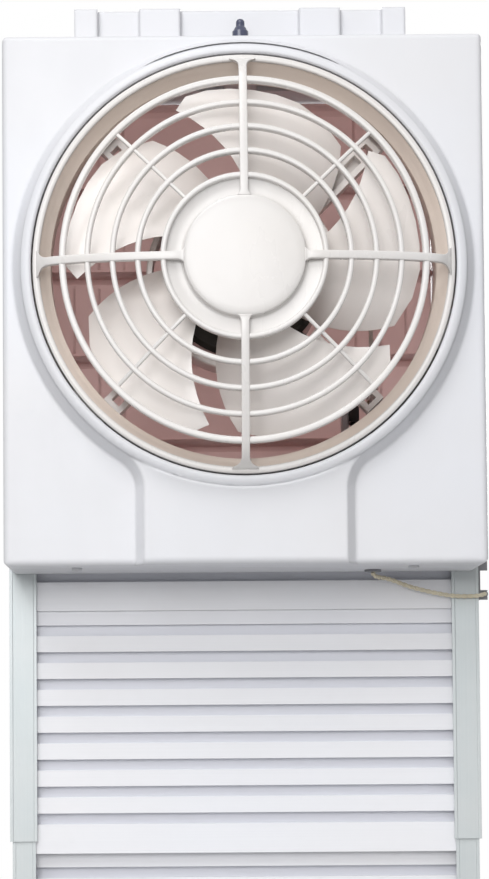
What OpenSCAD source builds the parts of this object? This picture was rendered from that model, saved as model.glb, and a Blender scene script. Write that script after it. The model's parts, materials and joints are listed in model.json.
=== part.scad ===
// Window exhaust fan held in a telescoping window frame.
// Seen from the room: +X right, +Y outdoors, +Z up.
// The origin is the middle of the foam seat under the sill channel.

/* [Window frame] */
// Height over everything with the rails pushed together
frame_h = 700; // [690:1:740]
// Width over the two rails
frame_w = 288; // [284:1:300]
// Width of a rail's face
rail_w = 16.6; // [15:0.1:19]
// Depth of a rail from the room side to the outdoor side
rail_d = 28; // [26:1:34]
// Sheet thickness of the rails and the sill channel
rail_t = 1.2; // [0.8:0.1:1.6]
// Clearance between parts that slide in each other
rail_play = 0.2; // [0.1:0.05:0.3]
// How far the outer rail's face reaches past the inner rail's
rail_step = 1; // [0.5:0.1:2]
// Width of the rounded bead along each edge of a rail's face
bead_w = 1.8; // [1:0.1:3]
// Height of the outer rails' lower ends
seam_z = 190.7; // [186:0.1:230]
// Length of the sliding inner rails
inner_rail_l = 540; // [500:1:560]
// Height of the sill channel's walls
sill_h = 20; // [16:1:24]
// Thickness of the foam seat under the sill channel
gasket_t = 3; // [2:0.5:5]
// Width of the foam seat
gasket_w = 20; // [14:1:24]
// Distance between the fixing holes in the sill channel
sill_hole_pitch = 220; // [160:1:240]
// Distance between the fixing holes in each side rail
jamb_hole_pitch = 90; // [60:1:110]
// Radius of the fixing holes
fixing_hole_r = 2.25; // [1.5:0.05:3]

/* [Filler panels] */
// Height of the upper panel's lower edge
panel_joint_z = 183.1; // [175:0.1:185]
// Distance from one regular slat to the next
slat_pitch = 16.48; // [14:0.01:18]
// Height of the groove between two slats
groove_h = 6.6; // [4:0.1:8]
// Height of the broad slat at a panel's foot
broad_slat_h = 17.9; // [14:0.5:22]
// Depth of the grooves
groove_d = 5; // [3:0.5:6]
// Sheet thickness of the panels
panel_t = 1.6; // [1.2:0.1:2]

/* [Body] */
// Width of the body
body_w = 285; // [282:1:292]
// Height of the body
body_h = 316; // [312:1:324]
// Distance from the body's top down to the fan's axis
axis_drop = 139.5; // [138:0.5:144]
// Depth of the front cover's rim
cover_d = 21; // [18:1:26]
// Depth of the rear casing
casing_d = 42; // [40:1:48]
// Wall thickness of the mouldings
wall = 2.2; // [1.8:0.1:2.8]
// Radius of the body's corners
corner_r = 4; // [2:0.5:8]
// Rounding of the cover's front edge
edge_r = 3; // [1:0.5:4]
// Gap along the parting line between cover and casing
parting_gap = 0.5; // [0.2:0.1:1]

/* [Collar and neck] */
// Height of the round collar above the cover's face
collar_h = 12; // [11:0.5:15]
// Radius of the collar at the cover's face
collar_base_r = 137; // [135:0.5:138]
// Height of the neck above the cover's face
neck_h = 8.5; // [6:0.5:9.5]
// Half the width of the neck at the cover's face
neck_half_w = 65; // [50:1:75]
// Radius of the fillets between neck and collar
neck_fillet_r = 20; // [12:1:28]
// How far the sides of the collar and neck lean in
bevel_w = 5.5; // [3:0.5:6]
// Gap between the collar and the guard
guard_gap = 1; // [0.6:0.1:1.6]

/* [Guard] */
// Outer radius of the guard's rim
guard_r = 124; // [123:0.5:126]
// Radius of the guard's round opening
opening_r = 120; // [118:0.5:121]
// Rise of the domed guard above its rim
dome_h = 25; // [22:0.5:30]
// Radius of the flat disc in the middle
disc_r = 35.5; // [28:0.5:38]
// Radius of the innermost ring
first_ring_r = 47; // [44:0.5:49]
// Radius of the outermost ring
last_ring_r = 105.8; // [98:0.1:108]
// Width of the rings seen from the front
ring_w = 3.2; // [2:0.1:4]
// Depth of the rings
ring_d = 5.5; // [4:0.5:7]
// Width of the four broad spokes
spoke_w = 4.8; // [3:0.1:7]
// Width of the four thin spokes
thin_spoke_w = 2.2; // [1.4:0.1:3]
// Radius of the fillets at the ends of the broad spokes
spoke_fillet_r = 5; // [3:0.5:6]
// Reach of the bayonet lugs beyond the rim
lug_reach = 3; // [2:0.5:3.5]

/* [Fan] */
// Radius of the blade tips
blade_tip_r = 105; // [98:0.5:108]
// Number of blades
blade_count = 5; // [3:1:6]
// Distance along the axis from trailing to leading edges
blade_depth = 30; // [24:1:32]
// Thickness of a blade
blade_t = 1.8; // [1.4:0.1:2.6]
// Radius of the fan's hub
hub_r = 34; // [28:0.5:36]
// Radius of the motor shaft
shaft_r = 4; // [3:0.1:5]

/* [Motor] */
// Radius of the motor
motor_r = 49; // [44:0.5:51]
// Length of the motor
motor_l = 50; // [44:1:54]
// Inner radius of the bracket's cup
cup_r = 54.5; // [53.5:0.5:56]
// Width of the bracket's arms
arm_w = 13; // [11:0.5:16]
// Thickness of the bracket's ribs
arm_rib = 3.4; // [2.4:0.1:4]
// Depth of the bracket's arms
arm_d = 12; // [10:0.5:14]

/* [Shutter] */
// Height of the shutter's foot above the body's foot
shutter_rise = 28.5; // [28:0.5:48]
// Number of vanes
vane_count = 5; // [3:1:5]
// Thickness of a vane
vane_t = 1.8; // [1.4:0.1:2.4]
// Radius of the pivot barrel along each vane's top
barrel_r = 2.4; // [2.2:0.1:2.6]
// Radius of the vanes' pivot pins
pivot_r = 1.5; // [1.2:0.1:1.6]
// Running clearance of every pivot
pivot_play = 0.08; // [0.03:0.01:0.1]
// Length of the cranks that work the vanes
crank_l = 14; // [13:0.5:15]
// Depth of the shutter's frame behind the rails' faces
shutter_d = 56; // [54:1:60]

/* [Top plate and knob] */
// Rise of the top plate above the body
plate_rise = 29.5; // [24:0.5:34]
// Half the width of the top plate
plate_half_w = 101.5; // [90:0.5:108]
// Depth of the top plate's folds
fold_d = 5; // [3:0.5:6]
// Radius of the jack screw
jack_r = 2.5; // [2:0.1:3]
// Radius of the knob's skirt
knob_r = 4.9; // [4:0.1:6]
// Height of the knob
knob_h = 18.8; // [16:0.2:24]

/* [Cord] */
// Diameter of the pull cord
cord_d = 2.8; // [2:0.1:3.2]

/* [Hidden] */

$fn = 64;
eps = 0.01;

// Heights above the sill seat
body_top = frame_h - plate_rise;
body_foot = body_top - body_h;
axis_z = body_top - axis_drop;
sill_floor = gasket_t + rail_t;

// Distances towards the room from the plane through the middle of the rails
rail_f = rail_d / 2;
casing_f = rail_f + casing_d;
cover_f = casing_f + cover_d;
neck_f = cover_f + neck_h;
rim_f = cover_f + collar_h;

// Rails
rail_x = frame_w / 2;
lip_x = rail_x - rail_w;
inner_rail_x = rail_x - rail_t - rail_play;
inner_rail_d = rail_d - 2 * (rail_t + rail_play);
rail_top = body_top - 6;
rail_screw_x = rail_x - rail_w / 2;
rail_screw_low = body_foot + 25.5;
rail_screw_high = body_top - 30.5;
rail_screw_r = 1.9;
guide_slot_w = 5;
jamb_hole_z = 60;
sill_screw_z = gasket_t + sill_h * 0.6;
sill_screw_r = 1.7;

// Filler panels
panel_x = inner_rail_x - rail_t - 1;
slat_y = -inner_rail_d / 2 + rail_t + 0.5;
groove_y = slat_y + groove_d;
slat_h = slat_pitch - groove_h;
rear_slat_y = groove_y + panel_t + 0.4;
rear_slat_drop = 8.6;
panel_lap = 5;
panel_top = body_foot + 24.5;
joint_lap = 1.2;
joint_room = 20;
slat_count = floor((body_foot - joint_room - panel_joint_z - broad_slat_h + joint_lap) / slat_pitch);
top_joint_z = panel_joint_z + broad_slat_h + slat_count * slat_pitch - joint_lap;

// Body, seen from the fan's axis
body_low = [-body_w / 2, body_foot - axis_z];
body_high = [body_w / 2, body_top - axis_z];
tongue_d = 9;
tongue_gap = 0.4;
tongue_in = wall + tongue_gap;
cover_screw_x = 100;
cover_screw_f = casing_f + 4.5;
cover_screw_r = 1.7;

// Collar and neck
neck_fillet_x = neck_half_w + neck_fillet_r;
neck_fillet_y = -sqrt(pow(collar_base_r + neck_fillet_r, 2) - pow(neck_fillet_x, 2));
neck_turn = atan2(-neck_fillet_y, neck_fillet_x);
neck_facets = 10;
collar_hole_r = guard_r + guard_gap;
brow_r = collar_base_r - bevel_w;

// Guard
ring_count = 5;
ring_step = (last_ring_r - first_ring_r) / (ring_count - 1);
spoke_d = 5;
spoke_end_r = guard_r - 0.4;
recess_d = 6;
lug_f = rim_f - 12;
lug_t = 2.4;
lug_angles = [90, 210, 330];
lug_span = 14;

// Fan
blade_f = rim_f + 3 - blade_depth;
tip_round_trailing = 9;
tip_round_leading = 7;
root_r = hub_r - 2;
camber = 3;
hub_back = blade_f - 1;
hub_front = blade_f + blade_depth + 2.5;
boss_r = shaft_r + 4;
shaft_thread_r = shaft_r - 1;

// Orifice plate
orifice_f = casing_f + 6;
orifice_plate_t = 2.5;
orifice_edge = tongue_in + wall + 1;
orifice_post_x = body_w / 2 - 11.5;
orifice_post_y = [body_high.y - 14.5, body_low.y + 16.5];
orifice_screw_r = 1.6;
post_r = 5;
throat_r = blade_tip_r + 9;
throat_f = cover_f + 1;

// Motor and its bracket
arm_f = casing_f - 14;
arm_front_f = arm_f + arm_d;
cup_t = 3.4;
cup_f = arm_f - 14;
motor_front = arm_front_f - 5;
motor_back = motor_front - motor_l;
motor_screw_r = 1.6;
ear_t = 2.4;
ear_r = cup_r + cup_t / 2;
shaft_back = motor_back + 3;
bearing_r = 8;
bearing_l = 9;
rotor_r = 24;
core_l = 20;
core_f = cup_f - core_l / 2 - 2;
shell_t = 1.6;
arm_gap = arm_w - 2 * arm_rib;
window_r = throat_r - 8;
arm_end_r = throat_r - 2;
pad_t = 4;
pad_f = arm_f + pad_t;
mount_r = throat_r + 14;
bracket_screw_r = 1.7;

// Shutter
shutter_screw_room = 17.5;
shutter_x = min(lip_x - 2.4, body_w / 2 - shutter_screw_room);
shutter_wall = 2;
shutter_top = axis_z + 132;
hinge_y = shutter_d - rail_f - 6;
hinge_top = shutter_top - 6;
rib_inset = 16.5;
rib_pitch = 16;
rib_t = 1.6;
rib_foot = 6;
rib_head = 8;
shutter_foot = body_foot + shutter_rise;
vane_pitch = (hinge_top - 4 - shutter_foot) / vane_count;
shutter_in_x = shutter_x - shutter_wall;
vane_x = shutter_in_x - 0.5;
vane_drop = vane_pitch + 1.4;
vane_y = barrel_r + 0.5;
shutter_screw_r = 1.5;
corner_tab = 18;
corner_screw = 5.5;

// Link bar and pull lever
link_x = 81.2;
link_t = 2.5;
crank_t = 2.5;
link_pin_r = 1.5;
link_half = 2.2;
lever_ear_t = 4;
lever_ear_x = link_x - 19.2;
lever_y = 2;
lever_z = hinge_top - 3 * vane_pitch - 25;
lever_pin_r = 2;
lever_hub_r = 6;
lever_x0 = lever_ear_x + lever_ear_t + 0.4;
lever_x1 = link_x - 0.4;
lever_arm_t = 3;
lever_eye = [78, lever_y - 38, lever_z - 13];
eye_r = 1.8;
opening_angle = 65;
cam_r = 7;
cam_rise = 2.4;
cam_gap = 0.35;
cam_t = 4;
switch_w = 6.4;
switch_top = lever_z - cam_r - cam_rise - 1.4;
plunger_r = 1.2;
plunger_x = lever_x0 + 2.2;

// Top plate, jack screw and knob
plate_t = 2.2;
plate_f = rail_f + 20;
plate_foot = body_top - 20.5;
plate_folds = [36, 62, 86.7];
jack_f = rail_f + 31;
nut_t = 6;

// Cord from the gland to its cleat, its route chosen by hand
cord_gland_r = 3.5;
cord_exit = [78, -30, body_foot];
cord_route = [
    [78, -30, 353], [78.8, -29, 351.2], [81.4, -26, 350.2], [85.6, -22.4, 349.8],
    [91, -19.4, 348.6], [97, -17.6, 346.4], [103, -17, 344.4], [109, -16.6, 342.8],
    [115, -16.2, 341.4], [121, -16, 340.2], [127, -15.9, 339.2], [133, -15.8, 338.8],
    [139, -15.8, 338.8], [143, -15.6, 339], [146, -14.5, 339.6], [147.8, -12.4, 340.2],
    [148.2, -10, 340.4]];
cord_bead_at = [148.2, -7.4, 340.4];
bead_r = 2.2;
bead_l = 5.2;
loop_r = 2.7;

// Inlet for the mains lead
mains_gland_r = 6;
mains_gland_y = -120;
mains_gland_f = rail_f + 18;

// Colours
white = [0.94, 0.94, 0.95];
cream = [0.93, 0.89, 0.82];
beige = [0.80, 0.74, 0.68];
rail_grey = [0.78, 0.82, 0.82];
mauve = [0.60, 0.48, 0.46];
dark = [0.10, 0.10, 0.11];
navy = [0.15, 0.16, 0.28];
steel = [0.66, 0.67, 0.69];
grey = [0.45, 0.45, 0.46];

// ---------------------------------------------------------------- helpers

// Points along an arc, both ends included
function arc(centre, r, from, to, n) =
    [for (i = [0:n]) let (a = from + (to - from) * i / n) centre + r * [cos(a), sin(a)]];

// Rectangle with round corners
function round_rect(low, high, r, n = 5) = concat(
    arc([high.x - r, high.y - r], r, 0, 90, n),
    arc([low.x + r, high.y - r], r, 90, 180, n),
    arc([low.x + r, low.y + r], r, 180, 270, n),
    arc([high.x - r, low.y + r], r, 270, 360, n));

// Rectangle with its two upper corners rounded
function round_top(x0, x1, y0, y1, r, n = 4) = concat(
    [[x0, y0], [x1, y0]],
    arc([x1 - r, y1 - r], r, 0, 90, n),
    arc([x0 + r, y1 - r], r, 90, 180, n));

// Rectangle with small chamfers all round
function chamfered(x0, x1, y0, y1, c) = [
    [x0 + c, y0], [x1 - c, y0], [x1, y0 + c], [x1, y1 - c],
    [x1 - c, y1], [x0 + c, y1], [x0, y1 - c], [x0, y0 + c]];

// Solid between two outlines with the same number of points
module loft(lower, z0, upper, z1) {
    n = len(lower);
    points = concat([for (p = lower) [p.x, p.y, z0]], [for (p = upper) [p.x, p.y, z1]]);
    sides = [for (i = [0:n - 1]) [i, n + i, n + (i + 1) % n, (i + 1) % n]];
    polyhedron(points, concat([[for (i = [0:n - 1]) i]], [[for (i = [n - 1:-1:0]) n + i]], sides));
}

// The fan's own frame: X right, Y up from the axis, Z towards the room
module on_axis() {
    translate([0, 0, axis_z]) rotate([90, 0, 0]) children();
}

// The same directions, with Y measured from the sill seat
module facing_room() {
    rotate([90, 0, 0]) children();
}

// A 2D shape in (Y, Z), extruded along X from x0 to x1
module along_x(x0, x1) {
    translate([x0, 0, 0]) rotate([90, 0, 90]) linear_extrude(x1 - x0) children();
}

// Both sides of the object
module both_sides() {
    children();
    mirror([1, 0, 0]) children();
}

// A pan-head screw along +Z with its head's seat at the origin
module pan_screw(r, l, head_r, head_h) {
    translate([0, 0, -l]) cylinder(r = r, h = l + eps);
    difference() {
        cylinder(r = head_r, h = head_h);
        translate([-head_r * 0.6, -0.4, head_h - 0.6]) cube([head_r * 1.2, 0.8, 1]);
        translate([-0.4, -head_r * 0.6, head_h - 0.6]) cube([0.8, head_r * 1.2, 1]);
    }
}

// ----------------------------------------------------------- window frame

// Channel that opens towards -X, with a bead along each edge of its room-side face
function channel(x0, x1, d, t) = [
    [x0, -d / 2], [x0 + bead_w, -d / 2], [x0 + bead_w + 0.3, 0.3 - d / 2],
    [x1 - bead_w - 0.3, 0.3 - d / 2], [x1 - bead_w, -d / 2], [x1, -d / 2],
    [x1, d / 2], [x0, d / 2], [x0, d / 2 - t],
    [x1 - t, d / 2 - t], [x1 - t, t - d / 2], [x0, t - d / 2]];

module outer_rail() {
    color(rail_grey) difference() {
        translate([0, 0, seam_z]) linear_extrude(rail_top - seam_z)
            polygon(channel(lip_x, rail_x, rail_d, rail_t));
        for (z = [rail_screw_low, rail_screw_high])
            translate([rail_screw_x, 0, z]) rotate([90, 0, 0]) cylinder(r = rail_screw_r + 0.05, h = rail_d);
    }
}

module inner_rail() {
    top = sill_floor + inner_rail_l;
    slot_foot = rail_screw_low - 8;
    color(rail_grey) difference() {
        translate([0, 0, sill_floor]) linear_extrude(inner_rail_l)
            polygon(channel(lip_x + rail_step, inner_rail_x, inner_rail_d, rail_t));
        translate([rail_screw_x - guide_slot_w / 2, -rail_d, slot_foot])
            cube([guide_slot_w, rail_d, top - slot_foot + 1]);
        translate([rail_screw_x, 0, sill_screw_z]) rotate([90, 0, 0])
            cylinder(r = sill_screw_r + 0.05, h = rail_d);
        for (z = [jamb_hole_z, jamb_hole_z + jamb_hole_pitch])
            translate([lip_x, 0, z]) rotate([0, 90, 0]) cylinder(r = fixing_hole_r, h = rail_w + 1);
    }
}

module upper_rail_left() { mirror([1, 0, 0]) outer_rail(); }
module upper_rail_right() { outer_rail(); }
module lower_rail_left() { mirror([1, 0, 0]) inner_rail(); }
module lower_rail_right() { inner_rail(); }

module sill_channel() {
    color(rail_grey) difference() {
        along_x(-rail_x, rail_x) polygon([
            [-rail_d / 2, gasket_t], [rail_d / 2, gasket_t],
            [rail_d / 2, gasket_t + sill_h], [rail_d / 2 - rail_t, gasket_t + sill_h],
            [rail_d / 2 - rail_t, sill_floor], [rail_t - rail_d / 2, sill_floor],
            [rail_t - rail_d / 2, gasket_t + sill_h], [-rail_d / 2, gasket_t + sill_h]]);
        for (x = [-1, 1]) {
            translate([x * rail_screw_x, 0, sill_screw_z]) rotate([90, 0, 0])
                cylinder(r = sill_screw_r + 0.05, h = rail_d);
            translate([x * sill_hole_pitch / 2, 0, 0]) cylinder(r = fixing_hole_r, h = sill_h);
        }
    }
}

module sill_gasket() {
    color([0.25, 0.26, 0.27]) difference() {
        translate([-rail_x, -gasket_w / 2, 0]) cube([2 * rail_x, gasket_w, gasket_t]);
        for (x = [-1, 1])
            translate([x * sill_hole_pitch / 2, 0, -1]) cylinder(r = fixing_hole_r, h = gasket_t + 2);
    }
}

module sill_screws() {
    color(steel) both_sides()
        translate([rail_screw_x, -rail_d / 2, sill_screw_z]) rotate([90, 0, 0])
            pan_screw(sill_screw_r, 3.4, 3.4, 1.8);
}

module rail_screws() {
    color(steel) both_sides() for (z = [rail_screw_low, rail_screw_high])
        translate([rail_screw_x, -rail_f - wall, z]) rotate([90, 0, 0])
            pan_screw(rail_screw_r, wall + rail_t + 1, 3.8, 2);
}

// ---------------------------------------------------------- filler panels

// Bottoms and tops of regular slats, the first one at z, none of them above top
function regular_slats(z, top) =
    [for (s = [z:slat_pitch:top - 2 * panel_t]) [s, min(s + slat_h, top)]];

// Ribbed board between two heights with its slats' faces at y = front
module board(front, foot, top, slats, open_foot = false) {
    back = front + groove_d;
    color(white) {
        along_x(-panel_x, panel_x) difference() {
            union() {
                translate([back, foot]) square([panel_t, top - foot]);
                for (s = slats)
                    translate([front, s[0]]) square([groove_d + eps, s[1] - s[0]]);
            }
            for (s = slats) let (start = open_foot && s[0] == foot ? foot - 1 : s[0] + panel_t)
                translate([front + panel_t, start]) square([groove_d + 1, s[1] - panel_t - start]);
        }
        both_sides() translate([panel_x - panel_t, front, foot])
            cube([panel_t, groove_d + panel_t, top - foot]);
    }
}

module filler_panel_upper() {
    last = panel_joint_z + broad_slat_h + groove_h + (slat_count - 1) * slat_pitch;
    tongue_y = slat_y + panel_t + 0.3;
    board(slat_y, panel_joint_z, top_joint_z - 0.2, concat(
        [[panel_joint_z, panel_joint_z + broad_slat_h]],
        regular_slats(panel_joint_z + broad_slat_h + groove_h, last - 1)));
    // the last slat lies deeper and reaches up behind the next panel's broad slat
    color(white) along_x(-panel_x + 2 * panel_t, panel_x - 2 * panel_t) {
        translate([tongue_y, last]) square([panel_t, top_joint_z + panel_lap - last]);
        for (z = [last, top_joint_z - 0.2 - panel_t])
            translate([tongue_y, z]) square([groove_y + panel_t - tongue_y, panel_t]);
    }
}

module filler_panel_top() {
    board(slat_y, top_joint_z, panel_top, concat(
        [[top_joint_z, top_joint_z + broad_slat_h]],
        regular_slats(top_joint_z + broad_slat_h + groove_h, panel_top)), true);
}

module filler_panel_lower() {
    highest = panel_joint_z - rear_slat_drop;
    first = highest - slat_pitch * floor((highest - sill_floor - broad_slat_h) / slat_pitch);
    board(rear_slat_y, sill_floor, panel_top,
        concat([[sill_floor, first - groove_h]], regular_slats(first, panel_top)));
}

// ----------------------------------------------------------- body shells

// The body's outline drawn in by g on all sides
function body_outline(g) =
    round_rect(body_low + [g, g], body_high - [g, g], max(corner_r - g, 0.8));

// Wall round the body between two outlines, from f0 to f1
module ring_wall(outer, inner, f0, f1) {
    difference() {
        translate([0, 0, f0]) linear_extrude(f1 - f0) polygon(body_outline(outer));
        translate([0, 0, f0 - 1]) linear_extrude(f1 - f0 + 2) polygon(body_outline(inner));
    }
}

// Block with round corners whose room-side edges are rounded too
module soft_block(low, high, f0, f1, r, e) {
    intersection() {
        translate([0, 0, f0]) linear_extrude(f1 - f0) polygon(round_rect(low, high, r));
        rotate([90, 0, 0]) translate([0, 0, -high.y]) linear_extrude(high.y - low.y)
            polygon(round_top(low.x, high.x, f0, f1, e));
        rotate([90, 0, 90]) translate([0, 0, low.x]) linear_extrude(high.x - low.x)
            polygon(round_top(low.y, high.y, f0, f1, e));
    }
}

// Outline of the neck and its fillets, drawn in by g, up to the middle of the collar
function neck_outline(g, foot) =
    let (fillet = arc([neck_fillet_x, neck_fillet_y], neck_fillet_r + g, 180, 180 - neck_turn, neck_facets),
        side = concat([[neck_half_w - g, foot]], [for (i = [0:neck_facets - 1]) fillet[i]],
            [(collar_base_r - g - 0.5) * [cos(neck_turn), -sin(neck_turn)]]))
    concat([[0, -collar_base_r / 2]], [for (i = [len(side) - 1:-1:0]) [-side[i].x, side[i].y]], side);

// Collar and neck up to f1, drawn in by g at f0, their bevelled sides running on past f0 and f1
module keyhole(g, foot, f0, f1) {
    lean = bevel_w / (f1 - f0);
    translate([0, 0, f0 - 1])
        cylinder(r1 = collar_base_r - g + lean, r2 = collar_base_r - g - bevel_w - lean, h = f1 - f0 + 2);
    loft(neck_outline(g - 2 * lean, foot), f0 - 2, neck_outline(g + bevel_w + 2 * lean, foot), f1 + 2);
}

module front_cover() {
    low = body_low;
    high = body_high;
    skirt_f = casing_f + parting_gap;
    color(white) on_axis() difference() {
        union() {
            difference() {
                union() {
                    soft_block(low, high, skirt_f, cover_f, corner_r, edge_r);
                    // the neck runs down to the cover's rounded lower edge
                    intersection() {
                        keyhole(0, low.y - 1, cover_f - 1, neck_f);
                        rotate([90, 0, 90]) translate([0, 0, -body_w]) linear_extrude(2 * body_w)
                            polygon(round_top(low.y, low.y + 2 * body_h, cover_f - 2, neck_f, edge_r));
                    }
                }
                soft_block(low + [wall, wall], high - [wall, wall], skirt_f - 1, cover_f - wall,
                    max(corner_r - wall, 0.5), max(edge_r - wall, 0.5));
                intersection() {
                    keyhole(wall, low.y + 2 * wall, cover_f - wall - 1, neck_f - wall);
                    translate([-body_w, low.y, cover_f - wall - 0.5])
                        cube([2 * body_w, body_h, neck_h + 0.5]);
                }
            }
            rotate_extrude($fn = 120) polygon([
                [collar_hole_r - 1, neck_f - wall / 2], [collar_hole_r - 1, rim_f - 1.8],
                [collar_hole_r + 0.8, rim_f], [brow_r - 4, rim_f],
                [brow_r - 1.5, rim_f - 0.8], [brow_r - 0.3, rim_f - 2.2], [brow_r - 0.15, neck_f],
                [brow_r - 0.15, neck_f - wall / 2]]);
        }
        translate([0, 0, casing_f]) cylinder(r = collar_hole_r, h = rim_f, $fn = 120);
        for (x = [-1, 1])
            translate([x * cover_screw_x, low.y - 1, cover_screw_f]) rotate([-90, 0, 0])
                cylinder(r = cover_screw_r + 0.1, h = wall + 2);
    }
}

module cover_screws() {
    color(steel) on_axis() for (x = [-1, 1])
        translate([x * cover_screw_x, body_low.y, cover_screw_f]) rotate([90, 0, 0])
            pan_screw(cover_screw_r, 2 * wall + tongue_gap + 0.6, 3.2, 1.6);
}

// Casing behind the cover: back wall with the air opening, sides and the tongue the cover slips over
module rear_casing() {
    low = body_low;
    high = body_high;
    open_x = shutter_in_x - 1;
    open_y = [shutter_foot + shutter_wall + 1 - axis_z, shutter_top - shutter_wall - 1 - axis_z];
    color(white) on_axis() difference() {
        union() {
            ring_wall(0, wall, rail_f, casing_f);
            ring_wall(0, tongue_in + wall, casing_f - 3, casing_f);
            ring_wall(tongue_in, tongue_in + wall, casing_f - 1, casing_f + tongue_d);
            translate([0, 0, rail_f]) linear_extrude(wall) polygon(body_outline(wall / 2));
            for (x = [-1, 1]) for (y = orifice_post_y)
                translate([x * orifice_post_x, y, rail_f + wall - eps])
                    cylinder(r = post_r, h = orifice_f - rail_f - wall + eps);
        }
        // air opening with a tab in every corner
        translate([0, 0, rail_f - 1]) linear_extrude(wall + 2)
            polygon(chamfered(-open_x, open_x, open_y[0], open_y[1], corner_tab - 2));
        // bores for the orifice plate's screws
        for (x = [-1, 1]) for (y = orifice_post_y)
            translate([x * orifice_post_x, y, orifice_f - 12]) cylinder(r = orifice_screw_r + 0.02, h = 13);
        // bores for the screws into the rails
        for (x = [-1, 1]) for (z = [rail_screw_low, rail_screw_high])
            translate([x * rail_screw_x, z - axis_z, rail_f - 1])
                cylinder(r = rail_screw_r + 0.05, h = wall + 2);
        // bores for the shutter's screws
        for (p = shutter_screw_at())
            translate([p.x, p.y - axis_z, rail_f - 1]) cylinder(r = shutter_screw_r + 0.05, h = wall + 2);
        // bores for the cover's screws
        for (x = [-1, 1])
            translate([x * cover_screw_x, low.y - 1, cover_screw_f]) rotate([-90, 0, 0])
                cylinder(r = cover_screw_r + 0.02, h = 3 * wall + 2);
        // way out for the top plate
        translate([-plate_half_w - 1, high.y - wall - 1, plate_f - fold_d - plate_t - 0.8])
            cube([2 * plate_half_w + 2, wall + 2, fold_d + plate_t + 1.6]);
        // bearing of the jack screw
        translate([0, high.y - wall - 1, jack_f]) rotate([-90, 0, 0])
            cylinder(r = jack_r + pivot_play, h = wall + 2);
        // seats of the two glands
        translate([cord_exit.x, low.y - 1, -cord_exit.y]) rotate([-90, 0, 0])
            cylinder(r = cord_gland_r, h = wall + 2);
        translate([low.x - 1, mains_gland_y, mains_gland_f]) rotate([0, 90, 0])
            cylinder(r = mains_gland_r, h = wall + 2);
    }
}

// --------------------------------------------------------- orifice plate

module orifice_plate() {
    edge = [orifice_edge, orifice_edge];
    hook_r = guard_r + lug_reach + 0.6;
    hook_t = 2.4;
    finger_f = lug_f + lug_t + 0.4;
    color(beige) on_axis() difference() {
        union() {
            translate([0, 0, orifice_f]) linear_extrude(orifice_plate_t)
                polygon(round_rect(body_low + edge, body_high - edge, corner_r));
            // bell mouth
            rotate_extrude($fn = 120) polygon([
                [throat_r + 2, orifice_f - 2], [throat_r + 2, throat_f - 1],
                [opening_r + 1.9, rim_f - 2.6], [opening_r + 0.3, rim_f - 2.6],
                [throat_r + 1.3, throat_f + 1], [throat_r, throat_f],
                [throat_r, orifice_f - 2]]);
            // hooks that hold the guard's lugs
            for (a = lug_angles) rotate([0, 0, a - lug_span / 2]) {
                rotate_extrude(angle = lug_span, $fn = 120) translate([hook_r, orifice_f + 1])
                    square([hook_t, finger_f + 2 - orifice_f - 1]);
                rotate_extrude(angle = lug_span, $fn = 120) translate([guard_r + 1.2, finger_f])
                    square([lug_reach, 2]);
            }
            // posts for the motor bracket
            for (a = [45:90:315]) rotate([0, 0, a]) translate([mount_r, 0, pad_f])
                cylinder(r = post_r, h = orifice_f - pad_f + eps);
        }
        translate([0, 0, orifice_f - 3]) cylinder(r = throat_r, h = orifice_plate_t + 4, $fn = 120);
        for (x = [-1, 1]) for (y = orifice_post_y)
            translate([x * orifice_post_x, y, orifice_f - 1]) cylinder(r = orifice_screw_r + 0.1, h = 5);
        for (a = [45:90:315]) rotate([0, 0, a]) translate([mount_r, 0, pad_f - 1])
            cylinder(r = bracket_screw_r + 0.02, h = orifice_f - pad_f);
    }
}

module orifice_screws() {
    color(steel) on_axis() for (x = [-1, 1]) for (y = orifice_post_y)
        translate([x * orifice_post_x, y, orifice_f + orifice_plate_t])
            pan_screw(orifice_screw_r, 12, 3.2, 1.8);
}

// ----------------------------------------------------------------- guard

// Height of the dome's front surface at radius r
function dome(r) = rim_f + dome_h * sqrt(max(0, 1 - pow(r / guard_r, 2)));

function ring_r(i) = first_ring_r + ring_step * i;

// Band under the dome's surface from r0 to r1, deep by d and sunk by s
function dome_band(r0, r1, d, s, n) = concat(
    [for (i = [0:n]) let (r = r0 + (r1 - r0) * i / n) [r, dome(r) - s]],
    [for (i = [n:-1:0]) let (r = r0 + (r1 - r0) * i / n) [r, dome(r) - s - d]]);

// Outline of one broad spoke along +Y, with its fillets at the disc and the rim
function spoke_half() =
    let (cx = spoke_w / 2 + spoke_fillet_r,
        hub_y = sqrt(pow(disc_r - 1 + spoke_fillet_r, 2) - cx * cx),
        rim_y = sqrt(pow(opening_r + 0.3 - spoke_fillet_r, 2) - cx * cx))
    concat(
        [[cx, hub_y - spoke_fillet_r * 1.2]],
        arc([cx, hub_y], spoke_fillet_r, -180 + atan2(hub_y, cx), 180 - 360, 5),
        arc([cx, rim_y], spoke_fillet_r, 180, atan2(rim_y, cx), 6),
        [[cx + 1, spoke_end_r - 1]]);

module spoke_outline() {
    right = spoke_half();
    left = [for (i = [len(right) - 1:-1:0]) [-right[i].x, right[i].y]];
    polygon(concat(right, left));
}

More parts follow.
